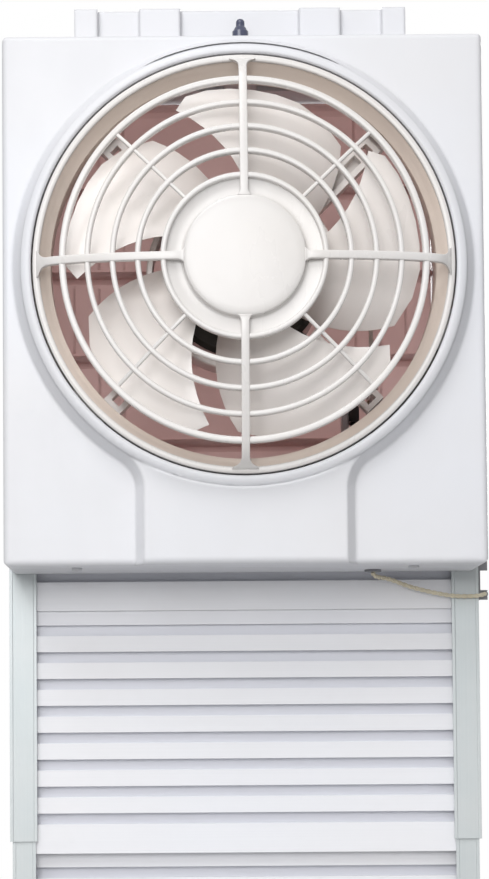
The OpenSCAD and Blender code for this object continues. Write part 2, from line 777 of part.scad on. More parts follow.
module guard_grille() {
    color(white) on_axis() {
        // rim with its bayonet lugs
        rotate_extrude($fn = 120) polygon([
            [opening_r, rim_f - 2.2], [opening_r, rim_f - 0.7], [opening_r + 0.7, rim_f],
            [guard_r - 0.8, rim_f], [guard_r, rim_f - 0.8], [guard_r, lug_f],
            [guard_r - 1.7, lug_f], [guard_r - 1.7, rim_f - 2.2]]);
        for (a = lug_angles) rotate([0, 0, a - lug_span / 2 + 1])
            rotate_extrude(angle = lug_span - 2, $fn = 120) translate([guard_r - 0.4, lug_f])
                square([lug_reach + 0.4, lug_t]);
        // rings
        for (i = [0:ring_count - 1]) {
            r = ring_r(i);
            w = i == ring_count - 1 ? ring_w * 1.2 : ring_w;
            rotate_extrude($fn = 120)
                polygon(chamfered(r - w / 2, r + w / 2, dome(r) - ring_d, dome(r), w * 0.28));
        }
        // centre disc on its closed, sunk cone
        rotate_extrude($fn = 96) polygon([
            [0, dome(0) - 3.2], [disc_r - 1.2, dome(0) - 3.2], [disc_r - 1.2, dome(disc_r) - recess_d - 1.6],
            [first_ring_r - ring_w / 2 + 0.4, dome(first_ring_r) - recess_d + 0.2],
            [first_ring_r - ring_w / 2 + 0.4, dome(first_ring_r) - recess_d + 2.0],
            [disc_r + 1.6, dome(disc_r) - recess_d + 0.2], [disc_r, dome(disc_r) - recess_d + 1.4],
            [disc_r, dome(disc_r) - 1.4], [disc_r - 1.4, dome(disc_r) - 0.2],
            [disc_r * 0.6, dome(0) - 0.1], [0, dome(0)]]);
        // broad spokes
        for (a = [0:90:270]) rotate([0, 0, a]) intersection() {
            rotate_extrude($fn = 120) polygon(dome_band(disc_r - 1, spoke_end_r, spoke_d, 0.1, 14));
            translate([0, 0, rim_f - 12]) linear_extrude(dome_h + 14) spoke_outline();
        }
        // thin spokes
        for (a = [45:90:315]) rotate([0, 0, a]) intersection() {
            rotate_extrude($fn = 120)
                polygon(dome_band(first_ring_r - 1, last_ring_r, ring_d - 2.4, 1.4, 10));
            translate([0, -thin_spoke_w / 2, rim_f - 2]) cube([guard_r, thin_spoke_w, dome_h + 4]);
        }
    }
}

// ------------------------------------------------------------------- fan

// Angles of a blade's trailing and leading edges at radius r
function trailing(r) = 109.6 + 0.33 * (r - 59) + 0.0015 * pow(r - 59, 2);
function leading(r) = 163 + 0.49 * (r - 52);

// Outer radius of a blade at v, from 0 at its trailing edge to 1 at its leading edge
function tip(v) = blade_tip_r
    - tip_round_trailing * pow(max(0, 1 - v / 0.3), 2)
    - tip_round_leading * pow(max(0, (v - 0.8) / 0.2), 2);

// Point of the blade's middle surface at u, from 0 at its root to 1 at its tip
function blade_point(u, v, side) =
    let (r = root_r + u * (tip(v) - root_r),
        a = trailing(r) + v * (leading(r) - trailing(r)),
        half = side * blade_t / 2 * (0.5 + 2 * v * (1 - v)))
    [r * cos(a), r * sin(a), blade_f + v * blade_depth + camber * 4 * v * (1 - v) + half];

module blade() {
    nu = 9;
    nv = 8;
    row = nv + 1;
    sheet = (nu + 1) * row;
    points = [for (side = [-1, 1]) for (i = [0:nu]) for (j = [0:nv]) blade_point(i / nu, j / nv, side)];
    cell = [for (i = [0:nu - 1]) for (j = [0:nv - 1]) i * row + j];
    back = [for (k = cell) each [[k, k + row + 1, k + 1], [k, k + row, k + row + 1]]];
    front = [for (k = cell) let (m = sheet + k) each [[m, m + 1, m + row + 1], [m, m + row + 1, m + row]]];
    edge = concat(
        [for (j = [0:nv]) j],
        [for (i = [1:nu]) i * row + nv],
        [for (j = [nv - 1:-1:0]) nu * row + j],
        [for (i = [nu - 1:-1:1]) i * row]);
    count = len(edge);
    sides = [for (i = [0:count - 1]) let (a = edge[i], b = edge[(i + 1) % count])
        each [[a, sheet + b, sheet + a], [a, b, sheet + b]]];
    polyhedron(points, concat(back, front, sides));
}

module propeller() {
    color(cream) on_axis() difference() {
        union() {
            for (i = [0:blade_count - 1]) rotate([0, 0, i * 360 / blade_count]) blade();
            rotate_extrude($fn = 96) polygon([
                [0, hub_front - 2.4], [hub_r - 4.6, hub_front - 2.4], [hub_r - 2.2, hub_front - 4.8],
                [hub_r - 2.2, hub_back], [hub_r, hub_back], [hub_r, hub_front - 4],
                [hub_r - 1.2, hub_front - 1.2], [hub_r - 4, hub_front], [0, hub_front]]);
            translate([0, 0, hub_back + 4]) cylinder(r = boss_r, h = hub_front - hub_back - 5);
            // ribs between the boss and the hub's outer wall
            for (a = [0:60:300]) rotate([0, 0, a]) translate([boss_r - 1, -0.9, hub_back + 8])
                cube([hub_r - boss_r - 0.5, 1.8, hub_front - hub_back - 9]);
        }
        // bore for the shaft
        translate([0, 0, hub_back - 1]) cylinder(r = shaft_r + 0.02, h = hub_front);
    }
}

module spinner_nut() {
    f = hub_front;
    color(dark) on_axis() difference() {
        rotate_extrude() polygon([[0, f], [9, f], [9, f + 2.5], [7.4, f + 6],
            [4.6, f + 8.2], [0, f + 8.8]]);
        translate([0, 0, f - 1]) cylinder(r = shaft_thread_r + 0.02, h = 6);
        for (a = [0:60:300]) rotate([0, 0, a]) translate([9.6, 0, f + 1.2]) cylinder(r = 1.4, h = 9);
    }
}

// ----------------------------------------------------------------- motor

module motor_shaft() {
    color(steel) on_axis() {
        translate([0, 0, shaft_back]) cylinder(r = shaft_r, h = hub_front - shaft_back);
        translate([0, 0, hub_front - eps]) cylinder(r = shaft_thread_r, h = 5);
    }
}

module bearing(f) {
    color([0.72, 0.58, 0.36]) on_axis() translate([0, 0, f]) difference() {
        rotate_extrude() polygon([[shaft_r - 1, 0], [bearing_r - 2, 0], [bearing_r, 2.5],
            [bearing_r, bearing_l - 2.5], [bearing_r - 2, bearing_l], [shaft_r - 1, bearing_l]]);
        translate([0, 0, -1]) cylinder(r = shaft_r + 0.05, h = bearing_l + 2);
    }
}
module front_bearing() { bearing(motor_front - bearing_l - 0.6); }
module rear_bearing() { bearing(motor_back + 0.6); }

module rotor() {
    color(steel) on_axis() difference() {
        union() {
            translate([0, 0, core_f]) cylinder(r = rotor_r, h = core_l);
            translate([0, 0, core_f - 3]) cylinder(r = rotor_r - 4, h = core_l + 6);
        }
        translate([0, 0, core_f - 5]) cylinder(r = shaft_r + 0.02, h = core_l + 10);
    }
}

module stator() {
    slots = 16;
    color([0.62, 0.40, 0.22]) on_axis() difference() {
        union() {
            translate([0, 0, core_f]) cylinder(r = motor_r - shell_t - 0.02, h = core_l);
            translate([0, 0, core_f - 6]) cylinder(r = motor_r - 8, h = core_l + 12);
        }
        translate([0, 0, core_f - 7]) cylinder(r = rotor_r + 0.5, h = core_l + 14);
        for (i = [0:slots - 1]) rotate([0, 0, i * 360 / slots])
            translate([rotor_r - 1, -1, core_f - 7]) cube([9, 2, core_l + 14]);
    }
}

// Half shell of the motor between two heights, open towards the split
module motor_can(r, closed, open) {
    t = shell_t;
    dir = open > closed ? 1 : -1;
    rotate_extrude($fn = 96) polygon([
        [bearing_r + 2, closed], [r - 3, closed], [r, closed + dir * 3], [r, open],
        [r - t, open], [r - t, closed + dir * 3.6], [r - 3.6, closed + dir * t],
        [bearing_r + 2, closed + dir * t]]);
    // bearing cup
    rotate_extrude() polygon([
        [bearing_r, closed + dir * 0.6], [bearing_r + 2.4, closed + dir * 0.2],
        [bearing_r + 2.4, closed + dir * bearing_l], [bearing_r, closed + dir * bearing_l]]);
}

module motor_front_shell() {
    color(dark) on_axis() difference() {
        motor_can(motor_r, motor_front, cup_f + 0.05);
        // cooling slots
        for (a = [0:30:330]) rotate([0, 0, a])
            translate([motor_r * 0.62, -2, motor_front - 3]) cube([9, 4, 4]);
    }
}

module motor_rear_shell() {
    color(dark) on_axis() {
        motor_can(motor_r, motor_back, cup_f - 0.05);
        // ears that bolt to the back of the cup
        for (a = [45:90:315]) rotate([0, 0, a]) difference() {
            translate([motor_r - 0.8, -5, cup_f - ear_t]) linear_extrude(ear_t)
                polygon(round_rect([0, 0], [ear_r - motor_r + 5.8, 10], 2.4));
            translate([ear_r, 0, cup_f - ear_t - 1]) cylinder(r = motor_screw_r + 0.1, h = ear_t + 2);
        }
    }
}

module motor_screws() {
    color(steel) on_axis() for (a = [45:90:315])
        rotate([0, 0, a]) translate([ear_r, 0, cup_f - ear_t]) rotate([180, 0, 0])
            pan_screw(motor_screw_r, 9, 3, 1.8);
}

// Channel-section arm that ends in a flat pad
module bracket_arm() {
    start = cup_r + cup_t + 1;
    difference() {
        translate([cup_r + 1, -arm_w / 2, arm_f]) cube([arm_end_r - cup_r - 1, arm_w, arm_d]);
        translate([start, -arm_gap / 2, arm_f + 2]) cube([window_r - 7 - start, arm_gap, arm_d]);
        // square window at the arm's outer end
        translate([window_r - 2.9, -arm_gap / 2, arm_f - 1]) cube([5.8, arm_gap, arm_d + 2]);
    }
    translate([arm_end_r - 3, -arm_w / 2, arm_f]) linear_extrude(pad_t)
        polygon(round_rect([0, 0], [mount_r + 10 - arm_end_r, arm_w], 4));
    translate([ear_r, 0, cup_f]) cylinder(r = motor_screw_r + 2.6, h = 12);
}

module motor_bracket() {
    color(cream) on_axis() difference() {
        union() {
            // round cup
            rotate_extrude($fn = 96) polygon([
                [cup_r, cup_f], [cup_r + cup_t, cup_f], [cup_r + cup_t, arm_front_f - 0.8],
                [cup_r + cup_t - 0.8, arm_front_f], [cup_r, arm_front_f]]);
            for (a = [45:90:315]) rotate([0, 0, a]) bracket_arm();
        }
        // keep the motor's space clear
        translate([0, 0, cup_f - 1]) cylinder(r = cup_r, h = arm_d + 20, $fn = 96);
        for (a = [45:90:315]) rotate([0, 0, a]) {
            translate([ear_r, 0, cup_f - 1]) cylinder(r = motor_screw_r + 0.02, h = 9.5);
            translate([mount_r, 0, arm_f - 1]) cylinder(r = bracket_screw_r + 0.1, h = pad_t + 2);
        }
    }
}

module bracket_screws() {
    color(steel) on_axis() for (a = [45:90:315])
        rotate([0, 0, a]) translate([mount_r, 0, arm_f]) rotate([180, 0, 0])
            pan_screw(bracket_screw_r, 12, 3.4, 1.8);
}

module run_capacitor() {
    color([0.86, 0.86, 0.84]) translate([-112, -rail_f - 30, body_foot + wall]) difference() {
        linear_extrude(18) polygon(round_rect([0, 0], [37, 24], 3));
        for (x = [14, 23]) translate([x, 8, 15.5]) cube([1, 7, 3]);
    }
}

// --------------------------------------------------------------- shutter

function hinge_z(i) = hinge_top - i * vane_pitch;

// Where the shutter's corner tabs are screwed, seen from the room
function shutter_screw_at() = [for (x = [-1, 1])
    for (z = [shutter_foot + shutter_wall + corner_screw, shutter_top - shutter_wall - corner_screw])
        [x * (shutter_in_x - corner_screw), z]];

module shutter_frame() {
    in_top = shutter_top - shutter_wall;
    in_foot = shutter_foot + shutter_wall;
    color(white) difference() {
        union() {
            difference() {
                translate([-shutter_x, -rail_f, shutter_foot])
                    cube([2 * shutter_x, shutter_d, shutter_top - shutter_foot]);
                translate([-shutter_in_x, -rail_f - 1, in_foot])
                    cube([2 * shutter_in_x, shutter_d + 2, in_top - in_foot]);
            }
            // corner tabs that the casing's screws hold
            facing_room() translate([0, 0, rail_f - 5]) linear_extrude(5) both_sides() {
                polygon([[shutter_in_x + 0.5, in_foot - 0.5], [shutter_in_x + 0.5, in_foot + corner_tab],
                    [shutter_in_x - corner_tab, in_foot - 0.5]]);
                polygon([[shutter_in_x + 0.5, in_top + 0.5], [shutter_in_x - corner_tab, in_top + 0.5],
                    [shutter_in_x + 0.5, in_top - corner_tab]]);
            }
            // ear that carries the pull lever
            along_x(lever_ear_x, lever_ear_x + lever_ear_t) polygon(concat(
                [[lever_y - 13, shutter_foot + 1], [lever_y + 13, shutter_foot + 1]],
                arc([lever_y, lever_z], 6, 0, 180, 8)));
        }
        for (i = [0:vane_count - 1])
            translate([-shutter_x - 1, hinge_y, hinge_z(i)]) rotate([0, 90, 0])
                cylinder(r = pivot_r + pivot_play, h = 2 * shutter_x + 2);
        for (p = shutter_screw_at())
            translate([p.x, -rail_f - 1, p.y]) rotate([-90, 0, 0])
                cylinder(r = shutter_screw_r + 0.02, h = 7);
        translate([lever_ear_x - 1, lever_y, lever_z]) rotate([0, 90, 0])
            cylinder(r = lever_pin_r, h = lever_ear_t + 2);
    }
}

module shutter_screws() {
    color(steel) for (p = shutter_screw_at())
        translate([p.x, -rail_f - wall, p.y]) rotate([90, 0, 0])
            pan_screw(shutter_screw_r, wall + 5, 2.8, 1.6);
}

// One vane: barrel and pins, plate with its lip and ribs, and a crank
module vane(i) {
    plate = [vane_y, vane_y + vane_t];
    rib_x = vane_x - rib_inset;
    color(mauve) translate([0, hinge_y, hinge_z(i)]) {
        translate([-vane_x, 0, 0]) rotate([0, 90, 0]) cylinder(r = barrel_r, h = 2 * vane_x);
        translate([-shutter_x + 0.3, 0, 0]) rotate([0, 90, 0])
            cylinder(r = pivot_r, h = 2 * (shutter_x - 0.3));
        // plate, hung from the barrel by a short web
        along_x(-vane_x, vane_x) polygon([
            [-0.4, -2], [1.6, -1], [plate[0], -2.4], [plate[1] - 0.6, -2.4], [plate[1], -3],
            [plate[1], -vane_drop], [plate[0], -vane_drop], [plate[0], -5.5]]);
        // crank with the pin that goes through the link bar
        along_x(link_x + link_t + 0.3, link_x + link_t + 0.3 + crank_t) union() {
            translate([-crank_l, -link_half]) square([crank_l, 2 * link_half]);
            translate([-crank_l, 0]) circle(r = link_half + 0.3);
        }
        translate([link_x - 0.2, -crank_l, 0]) rotate([0, 90, 0])
            cylinder(r = link_pin_r, h = link_t + 0.6 + crank_t);
        // stiffening ribs near both ends
        for (k = [0:2]) for (side = [-1, 1])
            translate([side * (rib_x - k * rib_pitch) - rib_t / 2, plate[0] - rib_t, -vane_drop + rib_foot])
                cube([rib_t, rib_t + 0.2, vane_drop - rib_foot - rib_head]);
    }
}

module shutter_vane_1() { vane(0); }
module shutter_vane_2() { vane(1); }
module shutter_vane_3() { vane(2); }
module shutter_vane_4() { vane(3); }
module shutter_vane_5() { vane(4); }

// Bar that ties the vanes' cranks to the lever's crank
module shutter_link_bar() {
    y = hinge_y - crank_l;
    foot = hinge_z(vane_count - 1) - 4;
    color(beige) difference() {
        along_x(link_x, link_x + link_t) union() {
            translate([y - link_half, foot]) square([2 * link_half, hinge_top + 3 - foot]);
            // branch to the lever's crank
            translate([lever_y - crank_l, lever_z - link_half])
                square([y - lever_y + crank_l, 2 * link_half]);
            translate([lever_y - crank_l, lever_z]) circle(r = link_half + 0.8);
        }
        for (i = [0:vane_count - 1])
            translate([link_x - 1, y, hinge_z(i)]) rotate([0, 90, 0])
                cylinder(r = link_pin_r + pivot_play, h = link_t + 2);
        translate([link_x - 1, lever_y - crank_l, lever_z]) rotate([0, 90, 0])
            cylinder(r = link_pin_r + pivot_play, h = link_t + 2);
    }
}

module lever_pin() {
    color(steel) translate([lever_ear_x, lever_y, lever_z]) rotate([0, 90, 0])
        cylinder(r = lever_pin_r, h = lever_x1 - lever_ear_x);
}

// Spiral cam under the lever's hub: its radius grows evenly with the turn
function cam_outline() = concat(
    [[0, 0]],
    [for (i = [0:10]) let (a = 200 + i * 80 / 10, k = max(0, (270 - a) / opening_angle))
        (cam_r + cam_rise * k) * [cos(a), sin(a)]]);

module pull_lever() {
    arm = [lever_eye.y - lever_y, lever_eye.z - lever_z];
    color(cream) translate([0, lever_y, lever_z]) difference() {
        union() {
            translate([lever_x0, 0, 0]) rotate([0, 90, 0]) cylinder(r = lever_hub_r, h = lever_x1 - lever_x0);
            along_x(lever_x0, lever_x0 + cam_t) polygon(cam_outline());
            // arm to the cord's eye
            along_x(lever_eye.x - lever_arm_t / 2, lever_eye.x + lever_arm_t / 2)
                rotate(atan2(arm.y, arm.x)) union() {
                    polygon([[0, -5], [norm(arm), -3.4], [norm(arm), 3.4], [0, 5]]);
                    translate([norm(arm), 0]) circle(r = 3.4);
                }
            // crank to the link bar
            along_x(lever_x1 - crank_t, lever_x1) union() {
                translate([-crank_l, -2.6]) square([crank_l, 5.2]);
                translate([-crank_l, 0]) circle(r = 2.6);
            }
            translate([lever_x1 - crank_t, -crank_l, 0]) rotate([0, 90, 0])
                cylinder(r = link_pin_r, h = crank_t + 0.6 + link_t);
        }
        translate([lever_x0 - 1, 0, 0]) rotate([0, 90, 0])
            cylinder(r = lever_pin_r + pivot_play, h = lever_x1 - lever_x0 + 2);
        translate([lever_eye.x - lever_arm_t, arm.x, arm.y]) rotate([0, 90, 0])
            cylinder(r = eye_r, h = 2 * lever_arm_t);
    }
}

module pull_switch() {
    color(dark) difference() {
        translate([lever_ear_x + lever_ear_t, lever_y - 10, switch_top - 15]) union() {
            translate([0, 0, 4]) linear_extrude(11) polygon(round_rect([0, 0], [switch_w, 20], 0.8));
            for (y = [3, 10, 17]) translate([switch_w / 2 - 1.2, y - 0.3, 0]) cube([2.4, 0.6, 5]);
        }
        translate([plunger_x, lever_y, switch_top - 6]) cylinder(r = plunger_r + 0.06, h = 7);
    }
}

module switch_plunger() {
    foot = switch_top - 3;
    color([0.85, 0.2, 0.15]) translate([plunger_x, lever_y, foot])
        cylinder(r = plunger_r, h = lever_z - cam_r - cam_gap - foot);
}

// ------------------------------------------------------- top plate, knob

module top_plate() {
    t = plate_t;
    front = [
        [plate_folds[0], plate_f - fold_d], [plate_folds[0] + 0.6, plate_f], [plate_folds[1] - 0.6, plate_f],
        [plate_folds[1], plate_f - fold_d], [plate_folds[2], plate_f - fold_d],
        [plate_folds[2] + 0.6, plate_f], [plate_half_w, plate_f]];
    back = [
        [plate_half_w, plate_f - t], [plate_folds[2] + 0.6 + t, plate_f - t],
        [plate_folds[2] + t, plate_f - fold_d - t], [plate_folds[1] - t, plate_f - fold_d - t],
        [plate_folds[1] - 0.6 - t, plate_f - t], [plate_folds[0] + 0.6 + t, plate_f - t],
        [plate_folds[0] + t, plate_f - fold_d - t]];
    right = concat(front, back);
    left_front = [for (i = [len(front) - 1:-1:0]) [-front[i].x, front[i].y]];
    left_back = [for (i = [len(back) - 1:-1:0]) [-back[i].x, back[i].y]];
    color(white) difference() {
        union() {
            mirror([0, 1, 0]) translate([0, 0, plate_foot]) linear_extrude(frame_h - plate_foot)
                polygon(concat(left_front, right, left_back));
            // foot with the nut for the jack screw
            translate([-10, -jack_f - 7, plate_foot])
                cube([20, jack_f + 7 - plate_f + fold_d + 1, nut_t]);
        }
        translate([0, -jack_f, plate_foot - 1]) cylinder(r = jack_r + pivot_play, h = nut_t + 2);
    }
}

module top_knob() {
    base = body_top + 0.3;
    top = base + knob_h;
    color(navy) translate([0, -jack_f, 0]) difference() {
        rotate_extrude() polygon([
            [0, base], [knob_r + 1.6, base], [knob_r + 1.6, base + 2.4], [knob_r, base + 3.2],
            [knob_r, top - 7.8], [knob_r - 0.6, top - 7.2], [knob_r - 1.4, top - 5.6],
            [knob_r - 2.2, top - 4.6], [knob_r - 2.3, top - 1.6], [knob_r - 3, top - 0.5],
            [knob_r - 4, top], [0, top]]);
        translate([0, 0, base - 1]) cylinder(r = jack_r, h = 7);
        for (a = [0:30:330]) rotate([0, 0, a]) translate([knob_r + 2.2, 0, base - 1]) cylinder(r = 1, h = 5);
    }
}

module jack_screw() {
    foot = plate_foot - 1;
    color(steel) translate([0, -jack_f, 0]) union() {
        translate([0, 0, foot]) cylinder(r = jack_r, h = body_top + 6.3 - foot);
        // collar that keeps it from lifting out
        translate([0, 0, body_top - wall - 1.5]) cylinder(r = jack_r + 2, h = 1.2);
    }
}

// ---------------------------------------------------------- cord, glands

function unit(v) = v / norm(v);
function route_heading(p, i) = unit(p[min(i + 1, len(p) - 1)] - p[max(i - 1, 0)]);

// Tube with n sides along a route
module tube(route, d, n = 8) {
    count = len(route);
    points = [for (i = [0:count - 1])
        let (t = route_heading(route, i),
            side = unit(cross(t, abs(t.z) > 0.9 ? [1, 0, 0] : [0, 0, 1])),
            up = cross(side, t))
        for (k = [0:n - 1]) route[i] + d / 2 * (side * cos(k * 360 / n) + up * sin(k * 360 / n))];
    skin = [for (i = [0:count - 2]) for (k = [0:n - 1])
        let (a = i * n + k, b = i * n + (k + 1) % n)
        each [[a, b + n, a + n], [a, b, b + n]]];
    polyhedron(points, concat([[for (k = [n - 1:-1:0]) k]],
        [[for (k = [0:n - 1]) (count - 1) * n + k]], skin));
}

module pull_cord() {
    color(cream) tube(cord_route, cord_d);
}

// Straight stretch inside the body, from the lever's tie to the gland
module cord_inner() {
    top = lever_eye - [0, 0, 2 * loop_r + 1.1];
    foot = cord_exit + [0, 0, wall + 1.2];
    color(cream) tube([for (i = [0:8]) foot + (top - foot) * i / 8], cord_d);
}

module cord_loop() {
    color(cream) translate(lever_eye - [0, 0, loop_r]) rotate([90, 0, 0])
        rotate_extrude($fn = 32) translate([loop_r, 0]) circle(r = 0.8, $fn = 16);
}

module cord_bead() {
    color(grey) translate(cord_bead_at) rotate([90, 0, 0])
        translate([0, 0, -bead_l / 2]) rotate_extrude($fn = 32) polygon([
            [0, 0], [bead_r - 0.7, 0], [bead_r, 1], [bead_r, bead_l - 1], [bead_r - 0.7, bead_l],
            [0, bead_l]]);
}

// Forked cleat on the rail's outer side that the bead hooks behind
module cord_cleat() {
    low = cord_bead_at.z - 3.6;
    color(grey) difference() {
        translate([rail_x, 0, low]) union() {
            translate([0, -11.6, 0]) cube([1.4, 9, 24]);
            for (z = [0, 18]) translate([0, -11.6, z]) cube([cord_bead_at.x - rail_x + 1.6, 1.4, 6]);
        }
        translate([cord_bead_at.x - cord_d / 2 - 0.2, -12, cord_bead_at.z - cord_d / 2 - 0.2])
            cube([9, 3, cord_d + 0.4]);
    }
}

module cord_gland() {
    color([0.8, 0.8, 0.8]) translate([cord_exit.x, cord_exit.y, body_foot]) difference() {
        rotate_extrude() polygon([[1, -1.3], [cord_gland_r + 1.6, -1.3], [cord_gland_r + 1.6, 0],
            [cord_gland_r, 0], [cord_gland_r, wall], [cord_gland_r + 0.8, wall],
            [cord_gland_r + 0.2, wall + 1.2], [1, wall + 1.2]]);
        translate([0, 0, -2]) cylinder(r = cord_d / 2, h = wall + 4);
    }
}

module mains_gland() {
    color(dark) translate([-body_w / 2, -mains_gland_f, axis_z + mains_gland_y]) rotate([0, 90, 0])
        difference() {
            rotate_extrude() polygon([[1, -1.6], [mains_gland_r + 1.6, -1.6], [mains_gland_r + 1.6, 0],
                [mains_gland_r, 0], [mains_gland_r, wall], [mains_gland_r + 1.4, wall],
                [mains_gland_r + 1, wall + 1.6], [1, wall + 1.6]]);
            translate([0, 0, -3]) cylinder(r = 3.6, h = wall + 6);
        }
}

// ------------------------------------------------------------------ parts

sill_gasket();
sill_channel();
sill_screws();
lower_rail_left();
lower_rail_right();
filler_panel_lower();
filler_panel_upper();
filler_panel_top();
upper_rail_left();
upper_rail_right();
rail_screws();
rear_casing();
front_cover();
cover_screws();
orifice_plate();
orifice_screws();
guard_grille();
propeller();
spinner_nut();
motor_shaft();
rotor();
stator();
front_bearing();
rear_bearing();
motor_front_shell();
motor_rear_shell();
motor_screws();
motor_bracket();
bracket_screws();
run_capacitor();
shutter_frame();
shutter_screws();
shutter_vane_1();
shutter_vane_2();
shutter_vane_3();
shutter_vane_4();
shutter_vane_5();
shutter_link_bar();
lever_pin();
pull_lever();
pull_switch();
switch_plunger();
top_plate();
top_knob();
jack_screw();
mains_gland();
cord_gland();
pull_cord();
cord_inner();
cord_loop();
cord_bead();
cord_cleat();
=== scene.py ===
"""Window exhaust fan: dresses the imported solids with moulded, cast and extruded finishes."""

import json
import math

import bpy
from bpy.props import FloatProperty, FloatVectorProperty, IntProperty, PointerProperty
from mathutils import Matrix, Vector

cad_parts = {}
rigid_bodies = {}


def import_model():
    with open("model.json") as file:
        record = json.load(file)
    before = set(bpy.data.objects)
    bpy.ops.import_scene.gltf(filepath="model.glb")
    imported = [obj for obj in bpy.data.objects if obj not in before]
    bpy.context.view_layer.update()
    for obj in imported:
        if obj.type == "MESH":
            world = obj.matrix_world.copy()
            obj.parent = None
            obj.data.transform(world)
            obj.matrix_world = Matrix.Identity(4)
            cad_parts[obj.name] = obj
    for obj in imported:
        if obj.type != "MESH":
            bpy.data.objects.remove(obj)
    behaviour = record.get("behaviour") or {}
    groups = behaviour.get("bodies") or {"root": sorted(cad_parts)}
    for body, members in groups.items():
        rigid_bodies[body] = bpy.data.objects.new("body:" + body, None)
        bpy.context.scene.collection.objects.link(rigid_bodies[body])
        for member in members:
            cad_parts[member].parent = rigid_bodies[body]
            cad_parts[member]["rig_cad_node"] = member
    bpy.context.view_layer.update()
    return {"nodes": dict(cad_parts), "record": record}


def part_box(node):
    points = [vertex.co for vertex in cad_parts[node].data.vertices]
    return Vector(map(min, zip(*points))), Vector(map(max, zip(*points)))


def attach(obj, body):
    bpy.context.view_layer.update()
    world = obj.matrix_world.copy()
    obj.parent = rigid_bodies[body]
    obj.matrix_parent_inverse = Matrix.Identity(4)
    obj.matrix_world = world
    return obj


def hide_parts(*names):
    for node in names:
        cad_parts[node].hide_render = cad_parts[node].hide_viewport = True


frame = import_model()

bl_info = {
    "name": "Window Exhaust Fan",
    "version": (1, 0, 0),
    "blender": (4, 5, 0),
    "location": "View3D > Sidebar > Window Fan",
    "description": "Builds the visible pieces and finishes of a window exhaust fan round its solids",
    "category": "Object",
}

MM = 0.001

# The camera: lens and film in mm, place and reach in metres, angles in radians
LENS = 95.09
FILM_WIDTH = 36.0
LENS_SHIFT = (0.0594, 0.2011)
CAMERA_PLACE = (-0.0304, -1.4363, 0.25307)
CAMERA_LIFT = 0.0525
CAMERA_TURN = 0.001
CAMERA_ROLL = -0.0074
CAMERA_REACH = 20.0

# The lamps: place and width of each square in metres, and the setting that holds its power
LAMPS = {
    "key lamp": ((-0.6, -1.6, 2.3), 1.5, "key_power"),
    "front lamp": ((-0.3, -2.5, 1.0), 1.0, "front_power"),
    "back lamp": ((0.3, 1.7, 1.1), 1.2, "back_power"),
}
LAMP_TARGET = (0, 0, 0.5)
FLOOR_WIDTH = 3.2
# The even light changes from its low to its sky level between these heights of a unit heading
SKY_FROM, SKY_TO = -0.25, 0.7

# Radius over which the shading softens the edges of the body's plastic, in metres
SOFT_EDGE = 0.0028

# The guard, in mm. Radii are from the fan's axis, and F is the distance towards the room
AXIS_Z = 531.0
RIM_F = 89.0
LIP_D = 2.2
DOME_H = 25.0
GUARD_R = 124.0
RING_COUNT = 5
FIRST_RING_R = 47.0
RING_STEP = 14.7
RING_D = 5.5
RING_BACK_EDGE = 0.5
OUTER_RING_SCALE = 1.2
CORNER_STEPS = 4
LUG_ANGLES = (90, 210, 330)
LUG_SWEEP = 12.0
# Steps in the turn of the rim, of the rings and the centre, and of a lug
RIM_STEPS, RING_STEPS, LUG_STEPS = 180, 144, 8

# Sections of the rim and of its lugs, as radius and distance behind the rim's face
RIM_SECTION = (
    (120, LIP_D), (120, 0.9), (120.2, 0.35), (120.8, 0), (123, 0), (123.6, 0.25), (123.9, 0.7),
    (GUARD_R, 1.2), (GUARD_R, 12), (GUARD_R - 1.7, 12), (GUARD_R - 1.7, LIP_D))
LUG_SECTION = ((123.6, 12), (123.6, 9.6), (126.7, 9.6), (127, 9.9), (127, 11.7), (126.7, 12))

# Section of the centre, as radius and F: the disc's back and the sunk channel round it, then the
# middle and the radius of the disc's brow, then the radii at which its face follows the dome
CHANNEL_SECTION = [
    (0, 110.8), (20, 110.8), (34.3, 110.8), (34.3, 105.4), (46.2, 106.3), (46.2, 108.2),
    (41, 107.6), (37.3, 107.2), (36.2, 107.4), (35.6, 108.0), (35.5, 109.0), (35.5, 111.2)]
BROW_AT, BROW_R = (34.3, 111.5), 1.2
BROW_ANGLES = (0.4, 0.8, 1.2)
FACE_RADII = (33.4, 30, 26, 22, 18, 14, 10, 6, 3, 0)
FACE_SUNK = 0.15

# Broad spokes: their flare at both ends, how far they stand over the rings and where they do so
FLARE_R = 5.0
HUB_R = 34.5
FOOT_R = 120.3
FOOT_SPREAD = 0.4
PROUD = 0.7
PROUD_FROM, PROUD_RISE = 36.0, 5.0
PROUD_TO, PROUD_FALL = 119.0, 8.0
DROP_FROM, DROP_LENGTH = 112.0, 9.8
FOOT_SUNK = 0.4
CROWN_SUNK = 0.1
BROAD_D = 5.0

# Thin spokes: the stretch they cover, their half width, depth, edge radius and place under the dome
THIN_FROM, THIN_LENGTH, THIN_STEPS = 46, 59.8, 20
THIN_HALF, THIN_D, THIN_EDGE, THIN_SUNK = 1.1, 3.3, 0.7, 1.2

# Depth of the grooves between the boards' slats, in mm
GROOVE_D = 5.0

# The face of the cover's neck in the solid, in mm, and the grid of cuts it gets: from and up to these
# heights, this far to each side, and the grid's steps in width and in height
NECK_F = 85.5
NECK_Z = (356, 424)
NECK_HALF = 104
NECK_STEPS = (4, 2)
# The cove and the lean it gets under the collar, the half width they keep and the width they fade over
COVE_RISE, COVE_R = 1.7, 4.5
NECK_LEAN, LEAN_R = 1.2, 22.0
COVE_HALF, COVE_FADE = 44.0, 26.0

# The twisted cord: points to each span of its way and to each strand, and how deep the strands part
SPAN_STEPS = 12
STRAND_POINTS = 8
STRAND_VALLEY, STRAND_RIDGE, RIDGE_POWER = 0.31, 0.19, 0.7

